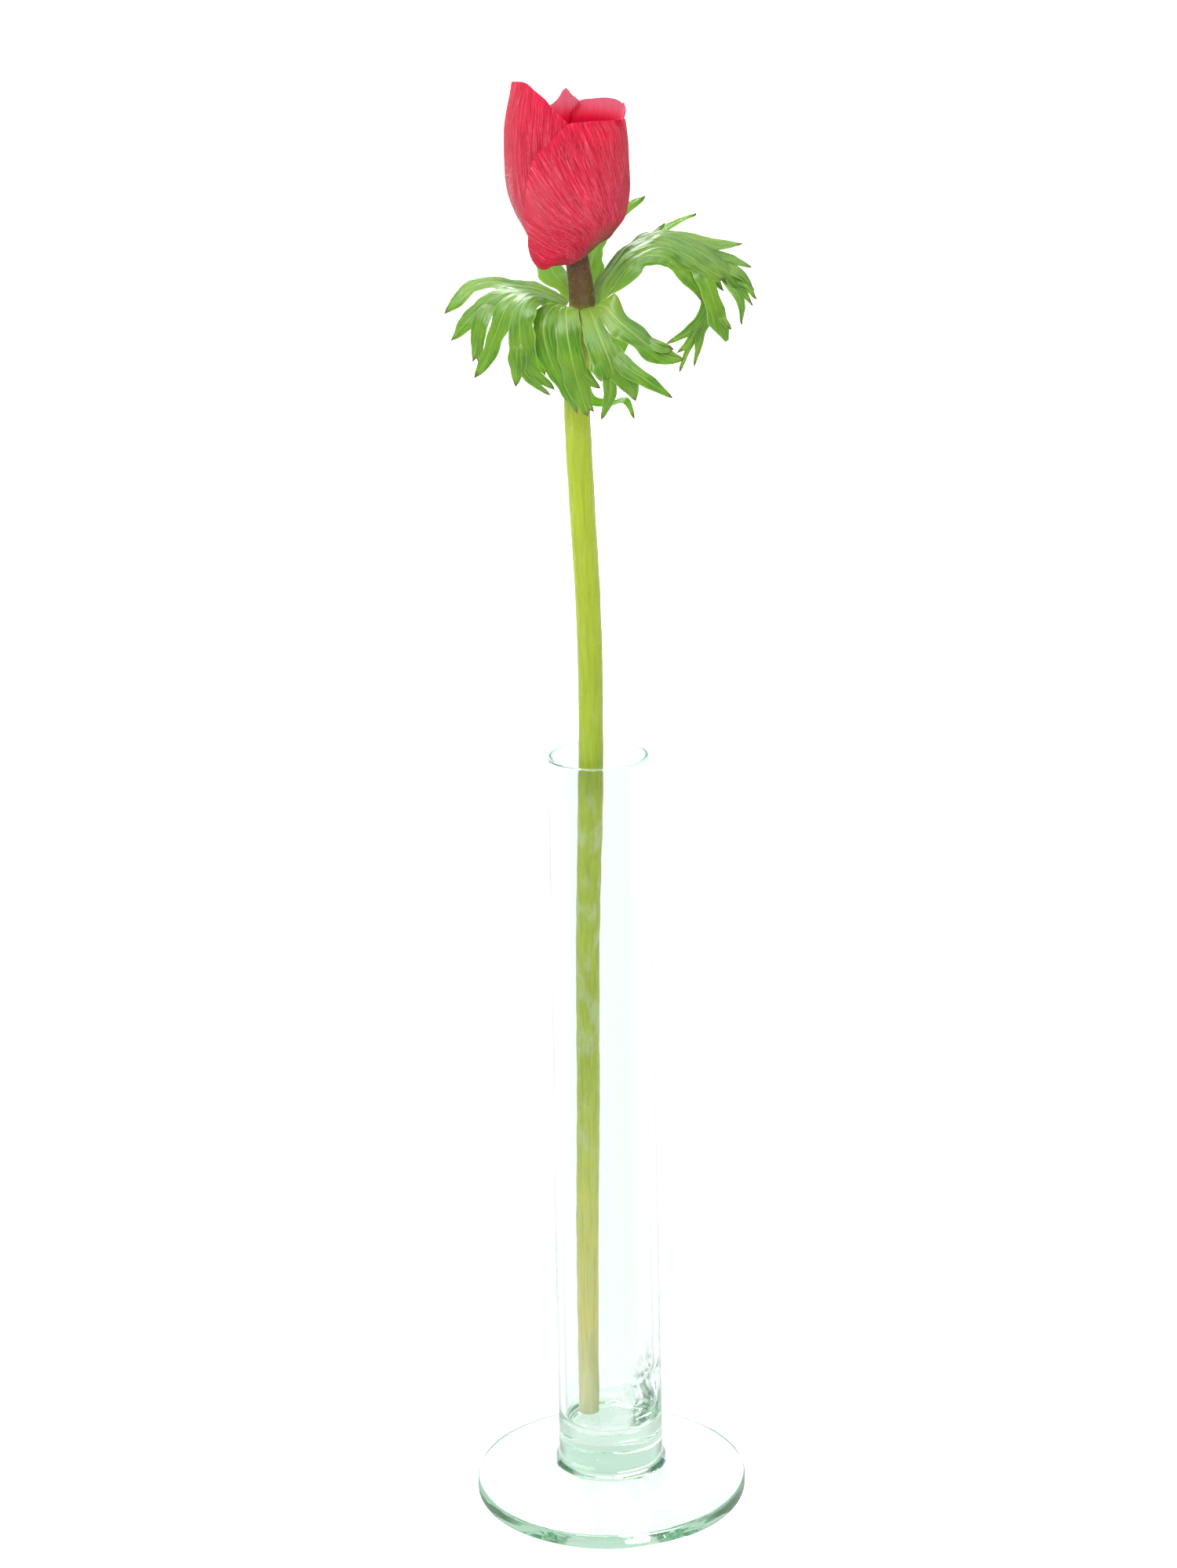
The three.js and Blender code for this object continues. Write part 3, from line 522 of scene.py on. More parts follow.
def glass_material():
    """Clear, slightly green glass. Light that has turned often inside it makes the glass glow with painted
    light: soft pale green, dim at its left.
    """
    s = shader("glass")
    place = s.place()
    ripple = s.noise(s.scaled(place, 1, 1, 0.3), 38.0)
    wave = s.sum(ripple, s.times(s.noise(place, 300.0, 1.0), 0.05))
    across, _, up = s.parts(place)
    height = s.times(up, 1 / (VASE_HEIGHT * MM))
    low = s.ramp(height, (0.05, 0.0), (0.08, 1.0), (0.3, 0.6), (0.7, 0.1))
    facing = s.node("LayerWeight", {"Blend": 0.5}).outputs["Facing"]
    turned = s.ramp(facing, (0.66, 0.0), (0.92, 1.0))
    tint = s.mix(s.times(turned, low), srgb(250, 255, 252), srgb(92, 118, 106))
    body = s.principled({
        "Base Color": s.mix(painted_shade_patches(s, place), tint, srgb(22, 84, 46)),
        "Roughness": 0.0, "IOR": 1.5, "Transmission Weight": 1.0, "Normal": s.bump(wave, 0.0006, 0.35),
        "Emission Color": s.ramp(s.line(across, 20, 0.5), *GLASS_GLOW),
        "Emission Strength": s.over(s.rays()["Ray Depth"], GLASS_TURNS),
    })
    inside = s.node("VolumeAbsorption", {"Color": (0.2, 0.56, 0.3), "Density": 15.0})
    return s.finish(body, Volume=inside.outputs[0])


# Petals


TRACK = along(BUD_PROFILE, np.linspace(0, 1, 401))
TRACK_LENGTHS = lengths_along(TRACK)
TRACK_WAYS = unit(np.gradient(TRACK, TRACK_LENGTHS, axis=0))


def bud_point(distance, angle, depth):
    """Points by distance up from a petal's base, angle round the bud and depth below the outermost layer."""
    columns = (*TRACK.T, *TRACK_WAYS.T)
    radius, height, dr, dz = (np.interp(distance, TRACK_LENGTHS, column) for column in columns)
    a = np.radians(angle)
    side = np.sin(a)
    deep = np.minimum(np.maximum(depth, 0) / LAYER_STEP, 1)
    low = smooth(distance, *TUCK_FROM) * fade(distance, *TUCK_TO)
    sunk = depth + TUCK * deep * low * smooth(-side, 0.3, 0.9)
    bulge = smooth(distance, *BULGE_FROM) * fade(distance, *BULGE_TO) * smooth(side, 0.2, 0.9)
    r = radius - dz * sunk + BULGE_RIGHT * bulge
    hang = np.where(side < 0, HANG_LEFT, HANG_RIGHT + HANG_ROOT * fade(distance, 3, 8))
    rise = hang * side + RISE_FRONT * np.maximum(np.cos(a), 0) * smooth(distance, 1, 7)
    lift = BASE_LIFT * fade(distance, *BASE_LIFT_FADE)
    corner = CORNER_DROP * np.exp(-((angle - CORNER_ANGLE) / CORNER_SPREAD) ** 2)
    corner = corner * np.exp(-((distance - CORNER_AT) / CORNER_LENGTH) ** 2) * (1 - deep)
    z = height + dr * sunk + rise * fade(distance, *HANG_FADE) * r + lift - corner
    lean = BUD_LEAN * (1 - np.exp(-np.maximum(z, 0) / BUD_LEAN_RISE))
    return np.stack([lean + r * side, -r * np.cos(a), z], -1) + FLOWER_BASE


# For each petal: its layer from the outside in, the angles of its edges by distance from its base,
# its top edge by place across it, how far its top folds inwards, and the size of its grid
PETALS = {
    "petal_front": dict(
        layer=0,
        left=[[0, -70], [5, -65], [8.5, -72], [11, -61], [13.5, -50], [16, -47], [21, -42], [26, -36],
              [30, -31], [33, -25], [36, -12], [39.4, 1], [40.3, 9]],
        right=[[1, 80], [8, 102], [22, 106], [32, 98], [40, 86]],
        top=[[0, 40.3], [0.5, 40], [1, 39.2]],
        fold=[[0, 0], [0.12, 0], [0.3, 0.9], [0.7, 0.9], [0.85, 0.1], [1, 0]],
        grid=(120, 230),
    ),
    "petal_back": dict(
        layer=0,
        left=[[1, 108], [10, 113], [32, 114], [39, 128]],
        right=[[1, 225], [10, 222], [30, 214], [39, 200]],
        top=[[0, 37], [0.5, 38.5], [1, 37]],
        grid=(90, 80),
    ),
    "petal_left": dict(
        layer=1,
        left=[[2, -120], [12, -140], [50, -142]],
        right=[[2, -5], [30, 10], [50, 10]],
        top=[[0, 39], [0.15, 44], [0.33, 47.7], [0.49, 48.7], [0.63, 48.7], [0.74, 47], [0.82, 45.2],
             [0.87, 43.1], [0.93, 41.2], [1, 39]],
        fold=[[0, 0], [0.12, 0.1], [0.3, 0.7], [0.6, 1.3], [0.8, 0.5], [0.9, 0], [1, 0]],
        fold_from=0.75,
        grid=(110, 200),
    ),
    "petal_back_right": dict(
        layer=1,
        left=[[2, 70], [20, 64], [36, 64], [42, 70]],
        right=[[2, 195], [20, 200], [42, 174]],
        top=[[0, 40.6], [0.05, 41.5], [0.15, 41.6], [0.27, 42.4], [0.33, 42.1], [0.45, 42.6],
             [0.6, 42.7], [0.75, 42.3], [0.88, 41.8], [1, 40]],
        fold=[[0, -1.7], [0.3, -1.2], [0.6, -0.7], [1, -0.3]],
        fold_from=0.88,
        grid=(120, 100),
    ),
    "petal_point": dict(
        layer=2,
        left=[[2, 150], [20, 160], [34, 173], [39, 172], [42, 161], [43.4, 169], [45, 174]],
        right=[[2, 255], [20, 262], [34, 228], [40, 202], [42, 188], [45, 178]],
        top=[[0, 44.4], [0.5, 45], [1, 44.4]],
        grid=(100, 80),
    ),
    "petal_inner_front": dict(
        layer=2,
        left=[[2, -60], [20, -80], [38, -66], [45, -66]],
        right=[[2, 50], [20, 70], [38, 58], [45, 58]],
        top=[[0, 35], [0.2, 40], [0.33, 44], [0.39, 44.7], [0.42, 44], [0.45, 42.9], [0.53, 41],
             [0.61, 39.3], [0.8, 38], [1, 36]],
        fold=[[0, 0], [0.45, 0], [0.55, 0.4], [0.75, 3], [0.9, 0.4], [1, 0]],
        fold_from=0.8,
        grid=(70, 70),
    ),
    "petal_inner_right": dict(
        layer=3,
        left=[[2, 40], [20, 38], [28, 50], [38, 74]],
        right=[[2, 150], [20, 158], [38, 130]],
        top=[[0, 34], [0.5, 37.5], [1, 35]],
        fold=[[0, 0.4], [0.25, 2.8], [0.5, 4.8], [0.75, 2.8], [1, 0.4]],
        fold_from=0.55,
        grid=(70, 60),
    ),
    "petal_inner_left": dict(
        layer=3,
        left=[[2, -165], [20, -168], [40, -140]],
        right=[[2, -40], [20, -40], [28, -54], [40, -86]],
        top=[[0, 37], [0.5, 39.5], [1, 37]],
        fold=[[0, 0.4], [0.25, 2.4], [0.5, 4], [0.75, 2.4], [1, 0.4]],
        fold_from=0.6,
        grid=(70, 60),
    ),
}
PETAL_SHEET = 0.38
EDGE_SHARE = 0.35
FOLD_FROM = 0.93
# Fine ribs along the fibres: height, how much slower they change along the petal, seed and width
RIBS = [(0.045, 0.03, 40, 1.3), (0.03, 0.06, 70, 0.75)]
FAN_RADIUS = 14.3
FAN_CENTRE = (24, -17)
FAN_WIDTH = 38
FIBRE_RADIUS = 13
STEP = 0.004
INSIDE_SHARE = 0.9

SILK_WIDTH = 0.05
SILK_RISE = 0.06
# Petal, hairs, shortest and longest, and seed
SILK = [
    ("petal_front", 1500, (3, 9), 101),
    ("petal_left", 1100, (3, 9), 102),
    ("petal_back", 700, (3, 8), 103),
    ("petal_back_right", 400, (3, 8), 104),
]
# Petal, hairs, shortest and longest, width, seed, and from where to where up it and across it
DOWN = [
    ("petal_front", 350, (0.2, 0.6), 0.03, 111, (0.03, 0.3), (0.3, 1.0)),
    ("petal_front", 260, (0.2, 0.6), 0.03, 112, (0.1, 0.98), (0.8, 1.0)),
    ("petal_left", 2000, (0.4, 1.3), 0.035, 113, (0.03, 0.6), (0.1, 0.55)),
    ("petal_back", 700, (0.3, 0.8), 0.03, 114, (0.02, 0.6), (0.0, 1.0)),
]


def fibres(name, distance, angle):
    """Place across and along a petal's fibres. They fan over the front petal from its lower right."""
    if name != "petal_front":
        return np.radians(angle) * FIBRE_RADIUS, distance
    x = FAN_RADIUS * np.radians(angle) - FAN_CENTRE[0]
    y = distance - FAN_CENTRE[1]
    return np.arctan2(x, y) * FAN_WIDTH, np.hypot(x, y)


def petal_surface(name, v, u, out=0.0):
    """Points of a petal's middle surface, with its distance and angle. out moves them outwards."""
    shape = PETALS[name]
    start = PETAL_START + PETAL_START_STEP * shape["layer"]
    distance = start + v * (between(shape["top"], u) - start)
    left = between(shape["left"], distance)
    angle = left + u * (between(shape["right"], distance) - left)
    folded = 0
    if "fold" in shape:
        folded = between(shape["fold"], u) * smooth(v, shape.get("fold_from", FOLD_FROM), 1)
    across, length = fibres(name, distance, angle)
    seed = list(PETALS).index(name)
    ribs = sum(high * wavy(across, slow * length, first + seed, size) for high, slow, first, size in RIBS)
    ribs = ribs * np.minimum(16 * u * (1 - u), 1)
    slack = 0.12 * wavy(distance, across, 60 + seed, 16) * smooth(v, 0.1, 0.5)
    depth = shape["layer"] * LAYER_STEP + folded - ribs - slack - out
    return bud_point(distance, angle, depth), distance, angle


def brown_and_sheen_parts(name, distance, angle, u):
    """How brown a petal is near its root, and how pale in stripes at each point: fuzz with a painted sheen.
    """
    if name == "petal_front":
        brown = 0.7 * fade(distance, 0, 9) * (0.25 + 0.75 * smooth(angle, 0, 45))
        brown = brown + 0.8 * smooth(angle, 20, 60) * fade(distance, 7, 15)
        edge = np.exp(-((u - 0.06) / 0.12) ** 2) * smooth(distance, 9, 17) * fade(distance, 22, 34)
        low_right = smooth(angle, 15, 60) * fade(distance, 3, 17)
        return np.minimum(brown, 0.9), 0.25 * edge + 0.4 * low_right
    if name == "petal_left":
        pale = 0.9 * fade(distance, 14, 40) * smooth(-angle, 30, 75)
        return 0.6 * fade(distance, 0, 11), pale
    return 0.7 * fade(distance, 0, 11), 0.7 * fade(distance, 10, 36)


def petal(name):
    rows, columns = PETALS[name]["grid"]
    rise = (1 - np.cos(np.pi * np.linspace(0, 1, rows))) / 2
    v, u = np.meshgrid(rise, np.linspace(0, 1, columns), indexing="ij")
    middle, distance, angle = petal_surface(name, v, u)
    up = petal_surface(name, v + STEP, u)[0] - petal_surface(name, v - STEP, u)[0]
    side = petal_surface(name, v, u + STEP)[0] - petal_surface(name, v, u - STEP)[0]
    from_edge = np.minimum(np.minimum(u, 1 - u), 1 - v)
    thin = PETAL_SHEET / 2 * np.clip(EDGE_SHARE + 6 * from_edge, EDGE_SHARE, 1)
    half = unit(np.cross(side, up)) * thin[..., None]
    piece = mesh_of(name, *closed_sheet(middle + half, middle - half))
    across, length = fibres(name, distance, angle)
    apart = np.full_like(across, 7.0 * list(PETALS).index(name))
    weave = np.stack([across, length, apart], -1).reshape(-1, 3)
    attribute(piece, "weave", np.tile(weave, (2, 1)))
    # pale holds the fuzz's own colour with a painted sheen
    base, pale = brown_and_sheen_parts(name, distance, angle, u)
    # rim marks where the inner face is painted paler near the top, as painted light
    for mark, values in (("base", base), ("pale", pale), ("rim", smooth(distance, 37.5, 42.5))):
        attribute(piece, mark, np.tile(values.ravel(), 2))
    attribute(piece, "inside", np.repeat([0, INSIDE_SHARE], u.size))
    return piece


def petal_silk(name, count, lengths, seed):
    """Silky hairs that lie along a petal's fibres, as ribbons that follow its surface."""
    rng = np.random.default_rng(seed)
    v, u = rng.uniform(0.18, 0.98, count), rng.uniform(0.015, 0.985, count)

    def slope(dv, du):
        """How the surface and the place across the fibres change with v and u."""
        ahead, *one = petal_surface(name, v + STEP * dv, u + STEP * du, 0.2)
        behind, *two = petal_surface(name, v - STEP * dv, u - STEP * du, 0.2)
        turn = fibres(name, *one)[0] - fibres(name, *two)[0]
        return (ahead - behind) / (2 * STEP), turn / (2 * STEP)

    (along_v, across_v), (along_u, across_u) = slope(1, 0), slope(0, 1)
    speed = np.linalg.norm(across_u[:, None] * along_v - across_v[:, None] * along_u, axis=1)
    length = rng.uniform(*lengths, count)
    drift = rng.normal(0, 0.07, count) / np.linalg.norm(along_u, axis=1)
    dv, du = across_u / speed * length, (-across_v / speed + drift) * length
    inside = (v + dv < 0.985) & (np.abs(u + du - 0.5) < 0.485)
    v, u, dv, du = (x[inside] for x in (v, u, dv, du))
    rise = rng.uniform(0, SILK_RISE, len(v))
    rows = []
    for t in np.linspace(0, 1, 6):
        out = PETAL_SHEET / 2 + 0.02 + rise * (0.4 + t)
        rows.append(petal_surface(name, v + dv * t, u + du * t, out)[0])
    ups = unit(np.cross(along_u, along_v))[inside]
    return ribbons(np.stack(rows, 1), ups, SILK_WIDTH)


def petal_down(name, count, lengths, width, seed, heights, places):
    """Short hairs that stand off a part of a petal."""
    rng = np.random.default_rng(seed)
    v, u = rng.uniform(*heights, count), rng.uniform(*places, count)
    near = [(0, 0), (0.01, 0), (0, 0.01)]
    root, up, side = (petal_surface(name, v + dv, u + du, PETAL_SHEET / 2)[0] for dv, du in near)
    out = unit(np.cross(side - root, up - root))
    down = unit(up - root) * rng.uniform(0.3, 1, (count, 1))
    way = unit(0.4 * out - down + 0.22 * rng.normal(size=(count, 3)))
    t = np.linspace(0, 1, 4)[None, :, None]
    bend = rng.normal(0, 0.25, (count, 1, 3))
    middle = root[:, None] + (way[:, None] + bend * t) * t * rng.uniform(*lengths, (count, 1, 1))
    return ribbons(middle, out, width)


# Leaves


def root(angle):
    """Where a leaf finger grows from the stem, by its angle round the joint."""
    a = math.radians(angle)
    return [JOINT[0] + LEAF_ROOT * math.sin(a), JOINT[1] - LEAF_ROOT * math.cos(a), 0]


# Each finger: the points of its middle line, with heights from the joint, its widths, and the ways
# that its upper face looks
LEFT_LEAF = [
    ([root(-120), [-9.5, -11.5, 2.5], [-16, -10, 4], [-23, -9, 5], [-27.5, -9, 4], [-31, -10, 1],
      [-34, -10, -2]], [2.5, 5, 5, 3.2, 3.6, 2.8, 0.6], [[0, -0.2, 1], [-0.2, -0.8, 0.6]]),
    ([root(-108), [-10, -14, 2.5], [-16.5, -15, 4], [-22, -15, 2.5], [-27, -15, -1.5], [-30, -15, -4.5],
      [-32.5, -14, -7.5]], [2.5, 5, 5.5, 4.5, 4.2, 3, 0.6], [[-0.1, -0.4, 1], [-0.4, -0.9, 0.4]]),
    ([[-20.5, -15, 3], [-24, -17, 0.5], [-25.5, -18, -3.5], [-26.5, -18, -8], [-27.5, -17, -12]],
      [2.5, 3.6, 3.8, 2.8, 0.6], [[-0.3, -0.6, 0.7], [-0.5, -0.9, 0.1]]),
    ([[-25.5, -18, -4], [-26, -18, -9.5], [-26, -17.5, -12.5]], [2, 1.8, 0.6], [[-0.4, -0.8, 0.3],
      [-0.5, -0.9, 0.1]]),
    ([root(-90), [-10.5, -17.5, 3], [-15, -20, 4], [-19, -22, 1.5], [-21.5, -23, -4], [-24, -22, -10],
      [-27, -21, -15]], [2.5, 5, 5.5, 4.6, 4, 3.4, 0.6], [[0, -0.4, 1], [-0.3, -1, 0.3]]),
    ([root(-68), [-9.5, -20, 2.5], [-13.5, -24, 4], [-16, -27, 1], [-16, -28, -5], [-14, -28, -11.5],
      [-8.5, -26, -17]], [2.5, 5.5, 6.4, 5.8, 6, 4, 0.6], [[0, -0.3, 1], [-0.2, -1, 0]]),
    ([[-16, -27.2, -1], [-17, -28.5, -7], [-17, -28, -11.5], [-17.5, -27, -16]], [3, 4, 3.4, 0.6],
      [[-0.3, -0.9, 0.4], [-0.3, -1, 0.2]]),
    ([[-16, -28, -6], [-15.5, -28.5, -11.5], [-13, -28, -15], [-9.5, -27, -18]], [3, 3, 1.8, 0.6],
      [[-0.2, -1, 0.2], [-0.2, -1, -0.1]]),
    ([root(-46), [-8, -20, 1], [-10.5, -24, -1.5], [-10.5, -25, -6.5], [-8.5, -25, -12.5], [-5.5, -24, -18],
      [-3.5, -22.5, -23.5]], [3, 5.8, 5.4, 5, 3.6, 3, 0.6], [[-0.1, -0.3, 1], [-0.1, -1, 0]]),
    ([[-10, -24, -3], [-11.5, -25, -6], [-12, -24.5, -9]], [2, 1.6, 0.6], [[-0.2, -0.9, 0.3],
      [-0.3, -1, 0]]),
    ([root(-24), [-5.5, -21, 0.5], [-5.5, -24.5, -4], [-4.5, -25.5, -10.5], [-3, -25, -17],
      [-1, -23.5, -24]], [2.6, 5, 5.8, 5.2, 5.4, 0.8], [[0, -0.3, 1], [0.1, -1, 0]]),
    ([[-4.5, -25.5, -11], [-1, -25, -14.5], [2, -23.5, -17.5]], [3, 2.6, 0.6], [[0.1, -1, 0.2],
      [0.3, -1, 0.2]]),
    ([[-1.8, -24.6, -18.5], [-0.5, -24, -21.5], [0.5, -23.5, -23]], [2, 1.2, 0.6], [[0.1, -1, 0],
      [0.2, -1, 0]]),
]
RIGHT_LEAF = [
    ([root(14), [0, -20.5, -0.7], [2, -24.5, -5.5], [4, -26.5, -10.5], [5, -27, -14]],
      [1.6, 4.2, 6.5, 7.5, 5], [[0.1, -0.4, 1], [0.2, -1, 0.1]]),
    ([[2.5, -25, -7], [4, -27, -13], [4, -26.5, -18.5], [2, -25, -24.5]], [4, 3.2, 2.8, 0.6],
      [[0.1, -1, 0.3], [0.1, -1, 0]]),
    ([[4, -26.5, -9.5], [6.5, -27, -13.5], [9, -26, -16.5], [10, -24, -20.5]], [5, 4.4, 3.6, 0.7],
      [[0.2, -1, 0.3], [0.5, -0.8, -0.3]]),
    ([[4, -26.3, -7.5], [8.5, -27.5, -12], [13.5, -27.5, -15.5], [18.5, -26, -19.5]], [4.5, 4, 2.8, 0.6],
      [[0.2, -1, 0.3], [0.1, -1, 0.4]]),
    ([root(36), [3, -19.5, 0.5], [7, -22.5, -3], [11.5, -23.5, -6.5], [16.5, -23, -10],
      [21.5, -21.5, -11.5]], [2.6, 5.5, 6.5, 5.5, 4.4, 0.6], [[0.2, -0.4, 1], [0.1, -0.9, 0.5]]),
    ([[11, -23.2, -5.5], [16, -23.5, -8], [19, -22, -9]], [3, 2.5, 0.6], [[0.1, -0.8, 0.6],
      [0.1, -0.8, 0.6]]),
    ([root(56), [5, -17, 4], [8.5, -18, 9], [12.5, -18, 12], [18, -18, 11.5], [21, -18, 8.5],
      [23.5, -18, 5.5], [26, -17, 1]], [2.2, 5, 6, 4.5, 4, 3.4, 2.8, 0.6], [[-0.5, -0.7, 0.5],
      [0.1, -0.8, 0.4], [0.7, -0.7, 0.2]]),
    ([root(98), [4.5, -11, 6.5], [9, -10.5, 13], [16, -10, 15.5], [23.5, -10, 14.5], [30, -10, 13],
      [35.5, -9, 13]], [3, 4.5, 4.5, 4, 3.4, 3, 0.6], [[-0.8, -0.2, 0.5], [-0.2, -0.5, 0.8],
      [0.2, -0.6, 0.8]]),
    ([root(78), [4.5, -14, 6], [9, -14.5, 11.5], [15, -15, 14], [21.5, -16, 12], [27, -16.5, 8.5],
      [31.5, -16, 6]], [2.2, 5, 5, 5, 5.5, 5, 0.8], [[-0.8, -0.2, 0.5], [-0.3, -0.7, 0.6],
      [0.4, -0.8, 0.5]]),
    ([[20.5, -15.7, 12], [25.5, -17.5, 8.5], [28, -18.5, 2], [29.5, -18.5, -3], [31.5, -17.5, -8]],
      [3, 4.5, 4.2, 4.2, 1.2], [[0, -0.7, 0.7], [0.5, -0.85, 0]]),
    ([[28.5, -18.5, 0.5], [31, -18.5, -3.5], [32.5, -18, -5.5]], [2, 1.4, 0.6], [[0.4, -0.8, 0.2],
      [0.5, -0.85, 0]]),
    ([[20, -14.5, 13.5], [26, -13, 5], [26.5, -12.5, -1.5], [23, -12, -6.5], [17.5, -12, -9.5]],
      [2.5, 2.6, 2.4, 2.4, 0.6], [[0.2, -0.5, 0.6], [0.3, -0.9, -0.2]]),
    ([[26, -12.5, -3], [23, -11.5, -9], [20, -11, -12]], [2, 1.6, 0.6], [[0.5, -0.6, 0], [0.3, -0.9, 0]]),
    ([[21.5, -12.5, 14], [27, -11.5, 6], [27.5, -10.5, -2], [25.5, -10, -8.5], [24, -10, -15.5]],
      [2.5, 2.6, 2.6, 2.4, 0.6], [[0.3, -0.5, 0.6], [0.6, -0.8, 0]]),
    ([[26.5, -10.3, -5], [23, -9.5, -11], [20.5, -9, -17]], [2, 1.6, 0.6], [[0.5, -0.7, 0],
      [0.4, -0.9, 0]]),
    ([[9, -12, 12.5], [16, -12.5, 15.3], [23.5, -13, 13.5], [29.5, -13.5, 9.3], [34, -13.5, 4.5],
      [37.5, -12.5, -1]], [4, 5, 5, 4, 3, 0.6], [[-0.3, -0.4, 0.8], [0.6, -0.6, 0.4]]),
    ([[24, -12.5, 13.3], [32, -11, 10], [37.5, -10, 7.5]], [3, 2.8, 0.6], [[0.2, -0.6, 0.8],
      [0.3, -0.6, 0.8]]),
    ([[28, -13.3, 10.3], [35, -12.5, 6.5], [38, -12, 2.5]], [3.4, 3, 0.6], [[0.3, -0.6, 0.6],
      [0.5, -0.6, 0.4]]),
    ([[32, -13.5, 7], [36.5, -13, 3.5], [38.5, -12.5, 0.5]], [3, 2, 0.6], [[0.4, -0.6, 0.5],
      [0.6, -0.6, 0.3]]),
    ([[29.5, -13.7, 9.2], [33.5, -15, 3], [35, -15, -1], [35, -14, -5]], [3, 2.4, 2, 0.6],
      [[0.4, -0.7, 0.4], [0.7, -0.7, 0]]),
    ([[25, -13, 12], [29, -12.5, 5.5], [31, -12, 2.5]], [2.4, 2, 0.6], [[0.3, -0.7, 0.5],
      [0.5, -0.7, 0.2]]),
    ([root(122), [3.4, -9, 4], [7.8, -7.5, 9], [12.8, -7.5, 13.5], [17, -8.5, 15.5]], [3, 5, 5.5, 5, 2],
      [[-0.6, -0.6, 0.5], [-0.3, -0.6, 0.7]]),
]
BACK_LEAF = [
    ([root(-158), [-5.8, -7, 3], [-8.5, -3, 5.5], [-9.5, 2, 9], [-8.5, 6, 13], [-6.5, 8, 16.5]],
      [1.8, 4, 6, 5, 4, 0.6], [[0, -0.3, 1], [0.3, -0.8, 0.6]]),
    ([root(165), [0, -7, 4], [0.5, -3, 7.5], [1.5, 2, 11.5], [5, 7, 16], [9.5, 10, 19], [13.5, 12, 21]],
      [3, 4.5, 4.5, 4.5, 4, 3, 0.6], [[0, -0.4, 1], [-0.3, -0.6, 0.7]]),
    ([root(143), [4, -5.5, 3.5], [9, 0, 9], [14.5, 5, 12.5], [20, 8, 15], [25.5, 10, 17]],
      [2, 4, 4, 3, 2, 0.6], [[-0.2, -0.4, 1], [-0.3, -0.5, 0.8]]),
    ([[11, 2, 10.5], [16, 5, 14], [18, 6, 15.5]], [2, 1.6, 0.6], [[-0.2, -0.4, 0.9], [-0.3, -0.5, 0.8]]),
    ([root(180), [-1.5, -6, 1], [-1.5, 0, -2.5], [-1, 3, -10], [0, 4, -16], [2.5, 3, -21.5]],
      [3, 6, 6, 5, 3.5, 0.6], [[0, 0.3, 1], [0.2, 1, 0.2]]),
    ([[-1.5, 2, -5.5], [-2, 4, -13.5], [-2, 4, -21.5], [0, 2, -25.5], [4.5, 0, -26], [8, -3, -25],
      [10, -5, -29]], [3, 3.5, 3, 2.2, 1.8, 1.8, 0.6], [[0, 1, 0.3], [0.4, 0.3, -0.9]]),
    ([root(-168), [-5.5, -5, 1], [-9, 0, -2], [-11, 4, -9], [-12, 5, -14.5], [-11, 4, -20]],
      [2.4, 4.4, 5, 4, 3.4, 0.6], [[-0.1, 0.2, 1], [-0.3, 0.9, 0.2]]),
    ([root(150), [4, -6, -0.5], [6, -1, -5], [7, 2, -11], [7, 2, -16.5]], [3, 4.5, 4.5, 4, 0.6],
      [[0.3, 0.3, 1], [0.5, 0.8, 0.2]]),
]
# The palm between neighbouring fingers: two finger numbers and how far up each it reaches
LEFT_PALM = [(0, 1, 0.48, 0.48), (1, 4, 0.4, 0.4), (4, 5, 0.66, 0.66), (5, 8, 0.28, 0.28),
             (8, 10, 0.56, 0.53)]
RIGHT_PALM = [(0, 4, 0.75, 0.42), (4, 6, 0.3, 0.3), (6, 8, 0.5, 0.5), (8, 7, 0.5, 0.5), (7, 21, 0.5, 0.8)]
BACK_PALM = [(0, 1, 0.35, 0.3), (1, 2, 0.35, 0.35), (4, 6, 0.35, 0.35), (4, 7, 0.3, 0.3)]
LEAF_SHEET = 0.36
LEAF_ARCH = 0.07
LEAF_COLUMNS = 21
ROWS_PER_POINT = 12
TIP_LENGTH = 1.6
TOOTH_TUCK = 1.0
TOOTH_FROM = 14
GROOVE = 0.12
GROOVE_WIDTH = 0.3
YOUNG_AND_BACKLIT_FADE = (1, 12)
RIB_FADE = (9, 24)
# Leaf: its fingers, its palms and how pale its root looks, partly young tissue and partly painted backlight
LEAVES = {
    "bract_left": (LEFT_LEAF, LEFT_PALM, 0.4),
    "bract_right": (RIGHT_LEAF, RIGHT_PALM, 0.6),
    "bract_back": (BACK_LEAF, BACK_PALM, 1.0),
}


def blade_lines(finger, steps):
    """A finger's middle points, the way across it, the way its upper face looks, and its widths."""
    at, widths, facing = finger
    t = np.linspace(0, 1, steps)
    way = unit(along(at, t + 0.01) - along(at, t - 0.01))
    up = along(facing, t)
    up = unit(up - (up * way).sum(1)[:, None] * way)
    return along(at, t), np.cross(way, up), up, along([[w] for w in widths], t)[:, 0]


